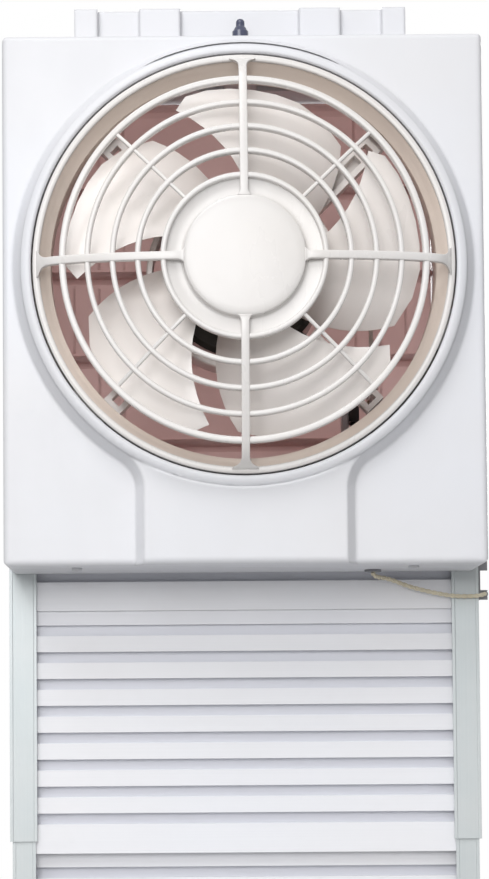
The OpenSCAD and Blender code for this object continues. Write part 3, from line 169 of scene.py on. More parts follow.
# The pull cord's way from the gland to the cleat, and the ends of its run inside the casing, in mm
PULL_ROUTE = [
    (78, -30, 353), (78.8, -29, 351.2), (81.4, -26, 350.2), (85.6, -22.4, 349.8),
    (91, -19.4, 348.6), (97, -17.6, 346.4), (103, -17, 344.4), (109, -16.6, 342.8),
    (115, -16.2, 341.4), (121, -16, 340.2), (127, -15.9, 339.2), (133, -15.8, 338.8),
    (139, -15.8, 338.8), (143, -15.6, 339), (146, -14.5, 339.6), (147.8, -12.4, 340.2),
    (148.2, -10, 340.4)]
INNER_ENDS = ((78, -30, 357.9), (78, -36, 450.5))
INNER_SPANS = 16
# The loop it hangs from
LOOP_CENTRE = (78, -36, 454.3)
LOOP_R, LOOP_WIRE_R = 2.7, 0.8
LOOP_POINTS, LOOP_STRANDS = 12, 3

# The foam gasket: its parts in length and in depth, and in metres its edge radius and the grain and
# height of its skin
FOAM_PARTS = (72, 6)
FOAM_EDGE = 0.0009
FOAM_GRAIN = 0.012
FOAM_SKIN = 0.0005

# Distances in metres under which points are one: in a solid's triangles, in a turned piece, and in a
# rounding that has no width. Faces within FLAT degrees of each other are one face
SOLID_SEAM = 0.000005
TURNED_SEAM = 0.000002
ROUNDED_SEAM = 0.0000003
FLAT = 0.3


# ------------------------------------------------------------------ settings

class StageSettings(bpy.types.PropertyGroup):
    floor_colour: FloatVectorProperty(
        name="Floor colour", description="Colour of the floor",
        subtype="COLOR", size=3, min=0, max=1, default=(0.46, 0.46, 0.46))
    key_power: FloatProperty(
        name="Key light", description="Strength of the large soft light high on the left",
        unit="POWER", min=0, default=34.0)
    front_power: FloatProperty(
        name="Front light", description="Strength of the soft light beside the camera",
        unit="POWER", min=0, default=26.0)
    back_power: FloatProperty(
        name="Back light", description="Strength of the daylight behind the closed shutter",
        unit="POWER", min=0, default=30.0)
    sky_level: FloatProperty(
        name="Sky level", description="Even light from straight above", min=0, max=2, default=0.6)
    low_level: FloatProperty(
        name="Low level", description="Even light from below the horizon", min=0, max=2, default=0.12)


class FinishColours(bpy.types.PropertyGroup):
    white: FloatVectorProperty(
        name="Body", description="Cover, casing, shutter frame and top plate",
        subtype="COLOR", size=3, min=0, max=1, default=(0.67, 0.68, 0.72))
    guard: FloatVectorProperty(
        name="Guard", description="Gloss plastic of the guard",
        subtype="COLOR", size=3, min=0, max=1, default=(0.68, 0.665, 0.66))
    blades: FloatVectorProperty(
        name="Blades", description="Propeller, motor bracket and pull lever",
        subtype="COLOR", size=3, min=0, max=1, default=(0.90, 0.87, 0.855))
    bell: FloatVectorProperty(
        name="Bell", description="Orifice plate and link bar",
        subtype="COLOR", size=3, min=0, max=1, default=(0.74, 0.65, 0.58))
    mauve: FloatVectorProperty(
        name="Shutter", description="Vanes of the shutter",
        subtype="COLOR", size=3, min=0, max=1, default=(0.84, 0.68, 0.66))
    panel: FloatVectorProperty(
        name="Filler panels", description="Slatted boards between the rails",
        subtype="COLOR", size=3, min=0, max=1, default=(0.79, 0.80, 0.84))
    rail: FloatVectorProperty(
        name="Rails", description="Anodised rails and sill channel",
        subtype="COLOR", size=3, min=0, max=1, default=(0.56, 0.59, 0.595))
    knob: FloatVectorProperty(
        name="Knob", description="Gloss plastic of the knob on top",
        subtype="COLOR", size=3, min=0, max=1, default=(0.045, 0.05, 0.09))
    cord: FloatVectorProperty(
        name="Cord", description="Twisted cotton pull cord",
        subtype="COLOR", size=3, min=0, max=1, default=(0.72, 0.66, 0.52))


class CordSettings(bpy.types.PropertyGroup):
    thickness: FloatProperty(
        name="Thickness", description="Diameter over the strands",
        unit="LENGTH", min=0.001, max=0.006, default=0.0028)
    strands: IntProperty(name="Strands", description="Strands twisted together", min=2, max=6, default=2)
    lay_length: FloatProperty(
        name="Lay length", description="Length of one full turn of a strand",
        unit="LENGTH", min=0.003, max=0.03, default=0.0075)


class GuardSettings(bpy.types.PropertyGroup):
    ring_width: FloatProperty(
        name="Ring width", description="Width of the rings, seen from the front",
        unit="LENGTH", min=0.002, max=0.004, default=0.0032)
    spoke_width: FloatProperty(
        name="Spoke width", description="Width of the four broad spokes",
        unit="LENGTH", min=0.003, max=0.007, default=0.0048)
    edge_radius: FloatProperty(
        name="Edge radius", description="Radius of the rings' and spokes' front edges",
        unit="LENGTH", min=0.0002, max=0.0015, default=0.0011)


# --------------------------------------------------------------- node maths

class Link:
    """An output socket whose arithmetic adds Math nodes."""

    def __init__(self, nodes, socket):
        self.nodes = nodes
        self.socket = socket

    def maths(self, operation, *terms):
        return self.nodes.node("ShaderNodeMath", {"operation": operation}, dict(enumerate(terms)))

    def __add__(self, other):
        return self.maths("ADD", self, other)

    def __radd__(self, other):
        return self.maths("ADD", other, self)

    def __sub__(self, other):
        return self.maths("SUBTRACT", self, other)

    def __rsub__(self, other):
        return self.maths("SUBTRACT", other, self)

    def __mul__(self, other):
        return self.maths("MULTIPLY", self, other)

    def __rmul__(self, other):
        return self.maths("MULTIPLY", other, self)


class Nodes:
    """A node tree under construction."""

    def __init__(self, tree):
        self.tree = tree
        tree.nodes.clear()

    def node(self, kind, settings, sockets, outlet=0):
        """Adds a node: its settings first, then values or links for its sockets."""
        made = self.tree.nodes.new(kind)
        for key, value in settings.items():
            setattr(made, key, value)
        for key, value in sockets.items():
            self.join(made.inputs[key], value)
        return Link(self, made.outputs[outlet]) if made.outputs else made

    def join(self, socket, value):
        if isinstance(value, Link):
            self.tree.links.new(value.socket, socket)
        elif socket.type == "RGBA":
            socket.default_value = (*value, 1.0)
        else:
            socket.default_value = value

    def band(self, value, low, high, to_low=0.0, to_high=1.0):
        """`value` spread from low..high to to_low..to_high and held there."""
        return self.node("ShaderNodeMapRange", {}, {
            "Value": value, "From Min": low, "From Max": high, "To Min": to_low, "To Max": to_high})


class Finish(Nodes):
    """A material under construction."""

    def __init__(self, name):
        self.material = bpy.data.materials.new(name)
        self.material.use_nodes = True
        super().__init__(self.material.node_tree)
        self.look = self.node("ShaderNodeBsdfPrincipled", {}, {})
        self.output = self.node("ShaderNodeOutputMaterial", {}, {"Surface": self.look})
        self.place = self.node("ShaderNodeTexCoord", {}, {}, "Object")

    def stretched(self, scale, at=None):
        """Coordinates scaled along each axis, for streaks and fibres."""
        return self.node("ShaderNodeMapping", {}, {"Vector": at or self.place, "Scale": scale})

    def noise(self, scale, detail=3.0, roughness=0.55, at=None):
        """Noise from 0 to 1 with `scale` features to the metre."""
        return self.node("ShaderNodeTexNoise", {}, {
            "Vector": at or self.place, "Scale": scale, "Detail": detail, "Roughness": roughness})

    def cells(self, scale):
        return self.node("ShaderNodeTexVoronoi", {}, {"Vector": self.place, "Scale": scale})

    def blend(self, share, first, second):
        """Mix of two colours; the node's colours are its sockets 6 and 7 and its outlet 2."""
        return self.node("ShaderNodeMix", {"data_type": "RGBA"}, {0: share, 6: first, 7: second}, 2)

    def bump(self, height, depth, normal=None):
        """A bump `depth` metres high."""
        sockets = {"Height": height, "Distance": depth, "Strength": 1.0}
        if normal is not None:
            sockets["Normal"] = normal
        return self.node("ShaderNodeBump", {}, sockets)

    def let_through(self, colour, share):
        """Mixes in a shader that shows the light behind a thin wall."""
        behind = self.node("ShaderNodeBsdfTranslucent", {}, {"Color": colour})
        mixed = self.node("ShaderNodeMixShader", {}, {0: share, 1: self.look, 2: behind})
        self.join(self.output.inputs["Surface"], mixed)

    def done(self, colour, roughness, normal, metallic=0.0, **constants):
        sockets = {"Base Color": colour, "Roughness": roughness, "Normal": normal, "Metallic": metallic}
        sockets.update((key.replace("_", " "), value) for key, value in constants.items())
        for key, value in sockets.items():
            self.join(self.look.socket.node.inputs[key], value)


def shade(colour, factor):
    return tuple(min(1.0, max(0.0, c * f)) for c, f in zip(colour, factor))


# ----------------------------------------------------------------- finishes

def moulded(name, colour, aged, gloss, grain=1.0, thin=0.0, soft=0.0, **constants):
    """Injection-moulded plastic: slow change of tone, flow marks, fine spark grain and rub marks.
    A `thin` one lets that share of the light through; a `soft` one shades its edges over that radius."""
    f = Finish(name)
    slow = f.noise(9.0, 2.0)
    flow = f.noise(34.0, 4.0, 0.6, f.stretched((1.0, 1.0, 0.35)))
    specks = f.band(f.cells(900.0), 0.0, 0.16, 1.0, 0.0)
    rubbed = f.band(f.noise(150.0, 5.0, 0.7), 0.60, 0.78)
    tone = f.blend(f.band(slow, 0.30, 0.72), colour, aged)
    tone = f.blend(f.band(flow, 0.35, 0.75, 0.0, 0.30), tone, shade(aged, (0.97, 0.97, 0.97)))
    tone = f.blend(specks * 0.10, tone, shade(aged, (0.80, 0.78, 0.75)))
    tone = f.blend(rubbed * 0.10, tone, shade(colour, (1.04, 1.04, 1.04)))
    rough = f.band(flow, 0.3, 0.8, gloss, gloss + 0.10) + rubbed * 0.12
    fine = f.noise(2600.0, 2.0)
    waves = f.noise(60.0, 2.0)
    edges = f.node("ShaderNodeBevel", {"samples": 8}, {"Radius": soft}) if soft else None
    normal = f.bump(fine, 0.000018 * grain, f.bump(waves, 0.00012 * grain, edges))
    if thin:
        f.let_through(shade(colour, (0.95, 0.94, 0.94)), thin)
    f.done(tone, rough, normal, **constants)


def ribbed_board(name, panel, node):
    """Extruded board: fine draw lines along X, scuffs, and painted shade in the grooves between its slats.
    """
    f = Finish(name)
    lines = f.noise(1.0, 3.0, 0.6, f.stretched((3.0, 900.0, 900.0)))
    slow = f.noise(7.0, 2.0)
    tone = f.blend(f.band(slow, 0.3, 0.7), panel, shade(panel, (1.0, 0.985, 0.965)))
    tone = f.blend(f.band(lines, 0.45, 0.75, 0.0, 0.25), tone, shade(panel, (0.92, 0.92, 0.92)))
    scuffs = f.band(f.noise(80.0, 5.0, 0.75), 0.62, 0.80)
    tone = f.blend(scuffs * 0.12, tone, shade(panel, (0.85, 0.84, 0.82)))
    # painted shade: the tone darkens with depth behind the board's front, into the grooves between the
    # slats where shade falls
    depth = f.node("ShaderNodeSeparateXYZ", {}, {0: f.place}, "Y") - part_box(node)[0].y
    tone = f.blend(f.band(depth, 0.4 * MM, GROOVE_D * MM), tone, shade(panel, (0.90, 0.90, 0.92)))
    rough = f.band(lines, 0.3, 0.8, 0.30, 0.42) + scuffs * 0.15
    f.done(tone, rough, f.bump(lines, 0.00003, f.bump(slow, 0.0008)))


def anodised_rail(name, rail):
    """Clear anodised aluminium: die lines along Z and small nicks."""
    f = Finish(name)
    lines = f.noise(1.0, 4.0, 0.65, f.stretched((1400.0, 1400.0, 6.0)))
    cloud = f.noise(22.0, 3.0)
    nicks = f.band(f.cells(240.0), 0.0, 0.07, 1.0, 0.0)
    tone = f.blend(f.band(cloud, 0.3, 0.7), rail, shade(rail, (0.93, 0.96, 0.97)))
    tone = f.blend(f.band(lines, 0.4, 0.8, 0.0, 0.4), tone, shade(rail, (1.12, 1.10, 1.10)))
    tone = f.blend(nicks * 0.25, tone, shade(rail, (0.6, 0.6, 0.6)))
    f.done(tone, f.band(lines, 0.2, 0.8, 0.36, 0.50), f.bump(lines, 0.00002), 0.35)


def plated_steel(name):
    """Zinc-plated steel with a few dull spots."""
    f = Finish(name)
    cloud = f.noise(300.0, 4.0, 0.6)
    spots = f.band(f.noise(900.0, 3.0, 0.7), 0.60, 0.75)
    tone = f.blend(f.band(cloud, 0.3, 0.7), (0.52, 0.53, 0.54), (0.62, 0.61, 0.57))
    tone = f.blend(spots * 0.5, tone, (0.34, 0.28, 0.22))
    f.done(tone, f.band(cloud, 0.3, 0.7, 0.26, 0.42) + spots * 0.2, f.bump(cloud, 0.00002), 0.95)


def core_sheets(name):
    """Steel core sheets stacked along the shaft, rusty in places."""
    f = Finish(name)
    sheets = f.node("ShaderNodeTexWave", {"bands_direction": "Y"}, {
        "Vector": f.place, "Scale": 320.0, "Distortion": 0.4, "Detail": 2.0})
    rust = f.band(f.noise(120.0, 4.0, 0.7), 0.5, 0.75)
    tone = f.blend(sheets, (0.10, 0.085, 0.075), (0.24, 0.21, 0.19))
    tone = f.blend(rust * 0.5, tone, (0.20, 0.10, 0.06))
    f.done(tone, f.band(sheets, 0.0, 1.0, 0.55, 0.38), f.bump(sheets, 0.00012), 0.7)


def baked_enamel(name):
    """Dark enamel with orange peel and chips."""
    f = Finish(name)
    peel = f.noise(700.0, 2.0)
    chips = f.band(f.noise(160.0, 5.0, 0.75), 0.66, 0.72)
    tone = f.blend(f.band(f.noise(25.0), 0.3, 0.7), (0.052, 0.050, 0.046), (0.078, 0.074, 0.066))
    tone = f.blend(chips, tone, (0.20, 0.18, 0.17))
    f.done(tone, 0.26 + chips * 0.3, f.bump(peel, 0.00004), Coat_Weight=0.2)


def sintered_bronze(name):
    """Grainy bearing bronze with oil stains."""
    f = Finish(name)
    stains = f.noise(180.0, 3.0)
    tone = f.blend(f.band(stains, 0.35, 0.65), (0.47, 0.30, 0.13), (0.28, 0.17, 0.08))
    f.done(tone, f.band(stains, 0.3, 0.7, 0.32, 0.5), f.bump(f.cells(2600.0), 0.00004), 0.9)


def open_cell_foam(name):
    """Dark foam with dust on it."""
    f = Finish(name)
    cells = f.cells(1500.0)
    tone = f.blend(f.band(cells, 0.0, 0.5), (0.030, 0.030, 0.032), (0.085, 0.085, 0.09))
    tone = f.blend(f.band(f.noise(60.0, 4.0), 0.45, 0.75, 0.0, 0.35), tone, (0.20, 0.19, 0.17))
    f.done(tone, 0.92, f.bump(cells, 0.0005))


def cotton_yarn(name, cord):
    """Cotton whose fibres run along the strands by the piece's own map, soiled by hands."""
    f = Finish(name)
    along = f.node("ShaderNodeUVMap", {"uv_map": "yarn"}, {})
    fibre = f.noise(1.0, 3.0, 0.7, f.stretched((420.0, 60.0, 1.0), along))
    soil = f.band(f.noise(160.0, 3.0), 0.45, 0.75, 0.0, 0.4)
    dark, light = shade(cord, (0.80, 0.78, 0.74)), shade(cord, (1.12, 1.12, 1.10))
    tone = f.blend(soil, f.blend(f.band(fibre, 0.3, 0.7), dark, light), shade(cord, (0.70, 0.64, 0.55)))
    f.done(tone, 0.86, f.bump(fibre, 0.00012), Sheen_Weight=0.35)


def make_finishes(colours):
    """Makes every finish under the name that FINISH_OF_SLOT or FINISH_OF_NODE gives."""
    white, guard, blades, bell, mauve, panel, rail, knob, cord = (
        tuple(getattr(colours, key)) for key in (
            "white", "guard", "blades", "bell", "mauve", "panel", "rail", "knob", "cord"))
    moulded("body plastic", white, shade(white, (1.0, 0.985, 0.96)), 0.34, soft=SOFT_EDGE)
    moulded("guard plastic", guard, shade(guard, (1.0, 0.98, 0.95)), 0.24, 0.6)
    moulded("blade plastic", blades, shade(blades, (0.98, 0.95, 0.92)), 0.27, 0.6)
    moulded("bell plastic", bell, shade(bell, (0.95, 0.92, 0.90)), 0.40)
    moulded("shutter plastic", mauve, shade(mauve, (0.90, 0.88, 0.88)), 0.42, thin=0.5)
    moulded("black plastic", (0.022, 0.022, 0.025), (0.035, 0.033, 0.032), 0.42)
    moulded("grey plastic", (0.23, 0.23, 0.25), (0.20, 0.20, 0.21), 0.38)
    moulded("red plastic", (0.42, 0.035, 0.03), (0.36, 0.03, 0.025), 0.34)
    moulded(
        "knob plastic", knob, shade(knob, (1.5, 1.5, 1.4)), 0.16, 0.5,
        Coat_Weight=0.4, Coat_Roughness=0.08)
    ribbed_board("panel plastic", panel, "filler_panel_upper")
    ribbed_board("rear panel plastic", panel, "filler_panel_lower")
    anodised_rail("rail aluminium", rail)
    plated_steel("plated steel")
    core_sheets("core steel")
    baked_enamel("motor enamel")
    sintered_bronze("bronze")
    open_cell_foam("foam")
    cotton_yarn("cotton", cord)


FINISH_OF_SLOT = {
    "white_plastic": "body plastic",
    "guard_plastic": "guard plastic",
    "cream_plastic": "blade plastic",
    "beige_plastic": "bell plastic",
    "mauve_plastic": "shutter plastic",
    "panel_plastic": "panel plastic",
    "rail_aluminium": "rail aluminium",
    "motor_enamel": "motor enamel",
    "steel": "plated steel",
    "core_steel": "core steel",
    "bronze": "bronze",
    "black_plastic": "black plastic",
    "navy_plastic": "knob plastic",
    "grey_plastic": "grey plastic",
    "red_plastic": "red plastic",
    "foam": "foam",
    "cord": "cotton",
}
# The lower board's grooves lie deeper than the other boards', so it has its own finish
FINISH_OF_NODE = {"filler_panel_lower": "rear panel plastic"}
SLOT_OF_NODE = {part["node"]: part["material_slot"] for part in frame["record"]["subparts"]}
SLOT_OF_NODE["cover_screws"] = "white_plastic"  # their heads are painted as the cover is
BODY_OF_NODE = {
    node: body for body, nodes in frame["record"]["behaviour"]["bodies"].items() for node in nodes}

# For each solid in view, its largest edge radius in mm, which its shortest edges make smaller, and
# the largest angle in degrees that is shaded as one curve
ROUNDED = {
    "front_cover": (0.4, 32),
    "orifice_plate": (0.3, 32),
    "propeller": (0.3, 35),
    "spinner_nut": (0.3, 35),
    "rear_casing": (0.4, 35),
    "motor_bracket": (0.3, 35),
    "motor_front_shell": (0.3, 35),
    "motor_rear_shell": (0.3, 35),
    "run_capacitor": (0.3, 35),
    "shutter_frame": (0.3, 35),
    "shutter_vane_1": (0.2, 35),
    "shutter_vane_2": (0.2, 35),
    "shutter_vane_3": (0.2, 35),
    "shutter_vane_4": (0.2, 35),
    "shutter_vane_5": (0.2, 35),
    "shutter_link_bar": (0.2, 35),
    "pull_lever": (0.2, 35),
    "pull_switch": (0.3, 35),
    "top_plate": (0.3, 35),
    "top_knob": (0.4, 35),
    "filler_panel_lower": (0.25, 35),
    "filler_panel_upper": (0.25, 35),
    "filler_panel_top": (0.25, 35),
    "sill_channel": (0.2, 35),
    "lower_rail_left": (0.2, 35),
    "lower_rail_right": (0.2, 35),
    "upper_rail_left": (0.2, 35),
    "upper_rail_right": (0.2, 35),
    "cord_gland": (0.15, 35),
    "cord_cleat": (0.2, 35),
    "mains_gland": (0.2, 35),
}

# Solids whose curved faces would show ripples if each face weighed by its area
CURVED = {"propeller", "spinner_nut", "orifice_plate", "top_knob"}


# ---------------------------------------------------------- modelling tools

def deselect():
    if bpy.context.object and bpy.context.object.mode != "OBJECT":
        bpy.ops.object.mode_set(mode="OBJECT")
    bpy.ops.object.select_all(action="DESELECT")


def pick(piece):
    """Makes `piece` the only selected and active object."""
    deselect()
    piece.hide_set(False)
    piece.select_set(True)
    bpy.context.view_layer.objects.active = piece


def start_editing():
    """Opens the active piece's mesh with all of it selected."""
    bpy.ops.object.mode_set(mode="EDIT")
    bpy.ops.mesh.select_all(action="SELECT")


def stop_editing():
    bpy.ops.object.mode_set(mode="OBJECT")


def cut(places, axis):
    """Cuts all that shows of the open mesh across `axis` at each of `places`, in metres."""
    for place in places:
        bpy.ops.mesh.select_all(action="SELECT")
        bpy.ops.mesh.bisect(plane_co=place * Vector(axis), plane_no=axis)


def apply_modifier(piece, kind, **settings):
    pick(piece)
    modifier = piece.modifiers.new(kind.lower(), kind)
    for key, value in settings.items():
        setattr(modifier, key, value)
    bpy.ops.object.modifier_apply(modifier=modifier.name)


def merged_copy(name):
    """A copy of a solid whose triangles are joined into whole faces."""
    pick(frame["nodes"][name])
    bpy.ops.object.duplicate()
    piece = bpy.context.object
    piece.name = name + "_finished"
    del piece["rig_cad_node"]
    start_editing()
    bpy.ops.mesh.remove_doubles(threshold=SOLID_SEAM)
    bpy.ops.mesh.dissolve_limited(angle_limit=math.radians(FLAT))
    stop_editing()
    return piece


def settle(piece, body, slot, replaced, crease):
    """Freezes the place of a piece into its mesh, gives it its finish and lets it ride."""
    pick(piece)
    bpy.ops.object.transform_apply(location=True, rotation=True, scale=True)
    bpy.ops.object.shade_smooth_by_angle(angle=math.radians(crease))
    finish = FINISH_OF_NODE.get(replaced[0], FINISH_OF_SLOT[slot])
    piece.data.materials.clear()
    piece.data.materials.append(bpy.data.materials[finish])
    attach(piece, body)
    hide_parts(*replaced)


# ---------------------------------------------------------------- operators

class FAN_OT_finishes(bpy.types.Operator):
    """Makes every finish and lays it on the solids that stay as they are"""
    bl_idname = "fan.finishes"
    bl_label = "Finishes"

    def execute(self, context):
        make_finishes(context.scene.fan_colours)
        for name, solid in frame["nodes"].items():
            finish = bpy.data.materials[FINISH_OF_SLOT[SLOT_OF_NODE[name]]]
            for place in solid.material_slots:
                place.material = finish
        return {"FINISHED"}


class FAN_OT_camera(bpy.types.Operator):
    """Sets the camera a little below the middle of the fan, looking slightly upwards"""
    bl_idname = "fan.camera"
    bl_label = "Camera"

    def execute(self, context):
        data = bpy.data.cameras.new("camera")
        data.sensor_width = FILM_WIDTH
        data.lens = LENS
        data.shift_x, data.shift_y = LENS_SHIFT
        data.clip_end = CAMERA_REACH
        camera = bpy.data.objects.new("camera", data)
        context.scene.collection.objects.link(camera)
        lift = Matrix.Rotation(math.radians(90) + CAMERA_LIFT, 4, "X")
        turn = Matrix.Rotation(CAMERA_TURN, 4, "Z")
        roll = Matrix.Rotation(CAMERA_ROLL, 4, "Z")
        camera.matrix_world = Matrix.Translation(CAMERA_PLACE) @ turn @ lift @ roll
        context.scene.camera = camera
        return {"FINISHED"}


def smooth_line(points, closed):
    """A smooth line through `points`, with SPAN_STEPS steps to each span."""
    count = len(points)
    line = []
    for i in range(count if closed else count - 1):
        if closed:
            a, b, c, d = (points[(i + k - 1) % count] for k in range(4))
        else:
            a, b = points[max(i - 1, 0)], points[i]
            c, d = points[i + 1], points[min(i + 2, count - 1)]
        for k in range(SPAN_STEPS):
            t = k / SPAN_STEPS
            line.append(0.5 * ((2 * b) + (c - a) * t + (2 * a - 5 * b + 4 * c - d) * t * t
                               + (3 * b - a - 3 * c + d) * t ** 3))
    return line if closed else line + [points[-1]]


def strand_tube(name, route, thickness, strands, lay_length, closed=False):
    """Twisted cord along a smooth line through `route`, as one closed mesh with a map named yarn."""
    fine = smooth_line([Vector(p) * MM for p in route], closed)
    around = STRAND_POINTS * strands
    verts, faces, along = [], [], [0.0]
    total = len(fine)
    side = None
    for i, here in enumerate(fine):
        if closed:
            heading = (fine[(i + 1) % total] - fine[i - 1]).normalized()
        else:
            heading = (fine[min(i + 1, total - 1)] - fine[max(i - 1, 0)]).normalized()
        if i:
            along.append(along[-1] + (here - fine[i - 1]).length)
        if side is None:
            side = heading.orthogonal().normalized()
        side = (side - heading * side.dot(heading)).normalized()
        up = heading.cross(side)
        turn = 2 * math.pi * along[i] / lay_length
        for j in range(around):
            angle = 2 * math.pi * j / around
            ridge = abs(math.cos(strands * angle / 2)) ** RIDGE_POWER
            radius = thickness * (STRAND_VALLEY + STRAND_RIDGE * ridge)
            verts.append(here + radius * (math.cos(angle + turn) * side + math.sin(angle + turn) * up))
    for i in range(total if closed else total - 1):
        k = (i + 1) % total
        for j in range(around):
            m = (j + 1) % around
            faces.append((i * around + j, i * around + m, k * around + m, k * around + j))
    if not closed:
        faces.append(tuple(reversed(range(around))))
        faces.append(tuple((total - 1) * around + j for j in range(around)))
    mesh = bpy.data.meshes.new(name)
    mesh.from_pydata([tuple(v) for v in verts], [], faces)
    yarn = mesh.uv_layers.new(name="yarn")
    for face in mesh.polygons:
        for corner in face.loop_indices:
            row, column = divmod(mesh.loops[corner].vertex_index, around)
            yarn.data[corner].uv = (along[row], column / around)
    mesh.validate()
    piece = bpy.data.objects.new(name, mesh)
    bpy.context.scene.collection.objects.link(piece)
    return piece, fine


def length_of(line):
    return sum((b - a).length for a, b in zip(line, line[1:]))


class FAN_OT_pull_cord(bpy.types.Operator):
    """Twists the pull cord along its way from the gland to the cleat"""
    bl_idname = "fan.pull_cord"
    bl_label = "Pull cord"

    def execute(self, context):
        sizes = context.scene.fan_cord
        piece, line = strand_tube(
            "pull_cord_twisted", PULL_ROUTE, sizes.thickness, sizes.strands, sizes.lay_length)
        settle(piece, "fan_body", "cord", ["pull_cord"], 60)
        round(length_of(line), 4)
        return {"FINISHED"}


class FAN_OT_inner_cord(bpy.types.Operator):
    """Twists the length of cord inside the casing and the loop it hangs from"""
    bl_idname = "fan.inner_cord"
    bl_label = "Inner cord"

    def execute(self, context):
        sizes = context.scene.fan_cord
        low, high = Vector(INNER_ENDS[0]), Vector(INNER_ENDS[1])
        route = [low.lerp(high, i / INNER_SPANS) for i in range(INNER_SPANS + 1)]
        piece, line = strand_tube(
            "cord_inner_twisted", route, sizes.thickness, sizes.strands, sizes.lay_length)
        settle(piece, "fan_body", "cord", ["cord_inner"], 60)
        round(length_of(line), 4)
        angles = [2 * math.pi * i / LOOP_POINTS for i in range(LOOP_POINTS)]
        route = [
            Vector(LOOP_CENTRE) + LOOP_R * Vector((math.cos(a), 0, math.sin(a))) for a in angles]
        lay = 2 * math.pi * LOOP_R * MM / LOOP_STRANDS
        piece, line = strand_tube(
            "cord_loop_twisted", route, 2 * LOOP_WIRE_R * MM, LOOP_STRANDS, lay, closed=True)
        settle(piece, "lever", "cord", ["cord_loop"], 60)
        return {"FINISHED"}


def cove_neck(cover):
    """Gives the cover's neck a soft cove under the collar, where the solid has a plain corner."""
    def on_neck(place):
        return abs(-place.y / MM - NECK_F) < 0.05

    def from_axis(place):
        return math.hypot(place.x / MM, place.z / MM - AXIS_Z)

    pick(cover)
    for face in cover.data.polygons:
        face.select = abs(face.normal.y) > 0.99 and on_neck(face.center)
    bpy.ops.object.mode_set(mode="EDIT")
    bpy.ops.mesh.select_mode(type="FACE")
    bpy.ops.mesh.hide(unselected=True)
    cut((z * MM for z in range(*NECK_Z, NECK_STEPS[1])), (0, 0, 1))
    cut((x * MM for x in range(-NECK_HALF, NECK_HALF + 1, NECK_STEPS[0])), (1, 0, 0))
    bpy.ops.mesh.reveal()
    stop_editing()
    neck = [v for v in cover.data.vertices if on_neck(v.co)]
    inner = min(from_axis(v.co) for v in neck)
    for v in neck:
        away = from_axis(v.co) - inner
        middle = 1.0 - min(1.0, max(0.0, (abs(v.co.x / MM) - COVE_HALF) / COVE_FADE))
        rise = COVE_RISE * math.exp(-away / COVE_R) + NECK_LEAN * math.exp(-away / LEAN_R)
        v.co.y = -(NECK_F + rise * middle * middle * (3.0 - 2.0 * middle)) * MM


def lathe(profile, steps, closed=True, start=0.0, sweep=360.0):
    """Turns an outline of (radius, distance towards the room) points, in mm, about the fan's axis."""
    deselect()
    full = sweep == 360.0
    bpy.ops.mesh.primitive_circle_add(vertices=len(profile), fill_type="NOTHING" if full else "NGON")
    piece = bpy.context.object
    angle = math.radians(start)
    for vertex, (r, f) in zip(piece.data.vertices, profile):
        vertex.co = Vector((r * math.sin(angle), -f, AXIS_Z + r * math.cos(angle))) * MM
    last = len(profile) - 1
    bpy.ops.object.mode_set(mode="EDIT")
    if not closed:
        bpy.ops.mesh.select_mode(type="EDGE")
        bpy.ops.mesh.select_all(action="DESELECT")
        stop_editing()
        for edge in piece.data.edges:
            edge.select = set(edge.vertices) == {0, last}
        bpy.ops.object.mode_set(mode="EDIT")
        bpy.ops.mesh.delete(type="EDGE")
    bpy.ops.mesh.select_mode(type="VERT")
    bpy.ops.mesh.select_all(action="SELECT")
    bpy.ops.mesh.spin(
        steps=steps, angle=math.radians(sweep), center=(0, 0, AXIS_Z * MM), axis=(0, 1, 0))
    bpy.ops.mesh.select_all(action="SELECT")
    bpy.ops.mesh.remove_doubles(threshold=TURNED_SEAM)
    bpy.ops.mesh.normals_make_consistent(inside=False)
    stop_editing()
    return piece


def rounded_section(low, high, front, depth, radius):
    """Outline of a ring between two radii, its front edges rounded by `radius`."""
    points = []
    for corner, first in ((high - radius, 0), (low + radius, 90)):
        for step in range(CORNER_STEPS + 1):
            turn = math.radians(first + 90 / CORNER_STEPS * step)
            points.append((corner + radius * math.cos(turn), front - radius + radius * math.sin(turn)))
    back = min(radius, RING_BACK_EDGE)
    return points + [
        (low, front - depth + back), (low + back, front - depth),
        (high - back, front - depth), (high, front - depth + back)]


def dome(r):
    """Height of the guard's dome at radius r, towards the room."""
    return RIM_F + DOME_H * math.sqrt(max(0.0, 1.0 - (r / GUARD_R) ** 2))


def crown(r):
    """Front of a broad spoke: proud of the rings, level with the disc, and down on the rim at its foot."""
    proud = PROUD * min(
        1.0, max(0.0, (r - PROUD_FROM) / PROUD_RISE), max(0.0, (PROUD_TO - r) / PROUD_FALL))
    drop = math.sqrt(max(0.0, 1.0 - (max(0.0, r - DROP_FROM) / DROP_LENGTH) ** 2))
    foot = RIM_F - FOOT_SUNK
    return foot + (dome(r) - CROWN_SUNK + proud - foot) * drop


def spoke(stations, half_width, front, depth, turn, radius):
    """A bar along `stations`, its face at `front`, turned clockwise from the top by `turn` degrees."""
    deselect()
    bpy.ops.mesh.primitive_cube_add(size=1.0, location=(0, 0, 0.5))
    piece = bpy.context.object
    bpy.ops.object.transform_apply(location=True, rotation=True, scale=True)
    last = len(stations) - 1
    start_editing()
    cut((k / last for k in range(1, last)), (0, 0, 1))
    stop_editing()
    about = Matrix.Rotation(math.radians(turn), 4, "Y")
    for vertex in piece.data.vertices:
        r = stations[min(last, max(0, round(vertex.co.z * last)))]
        f = front(r) if vertex.co.y < 0 else max(front(r) - depth, RIM_F - LIP_D)
        place = about @ Vector((math.copysign(half_width(r), vertex.co.x), -f, r))
        vertex.co = (place + Vector((0, 0, AXIS_Z))) * MM
    apply_modifier(
        piece, "BEVEL", width=radius * MM, segments=3, limit_method="ANGLE",
        angle_limit=math.radians(50), use_clamp_overlap=True)
    return piece


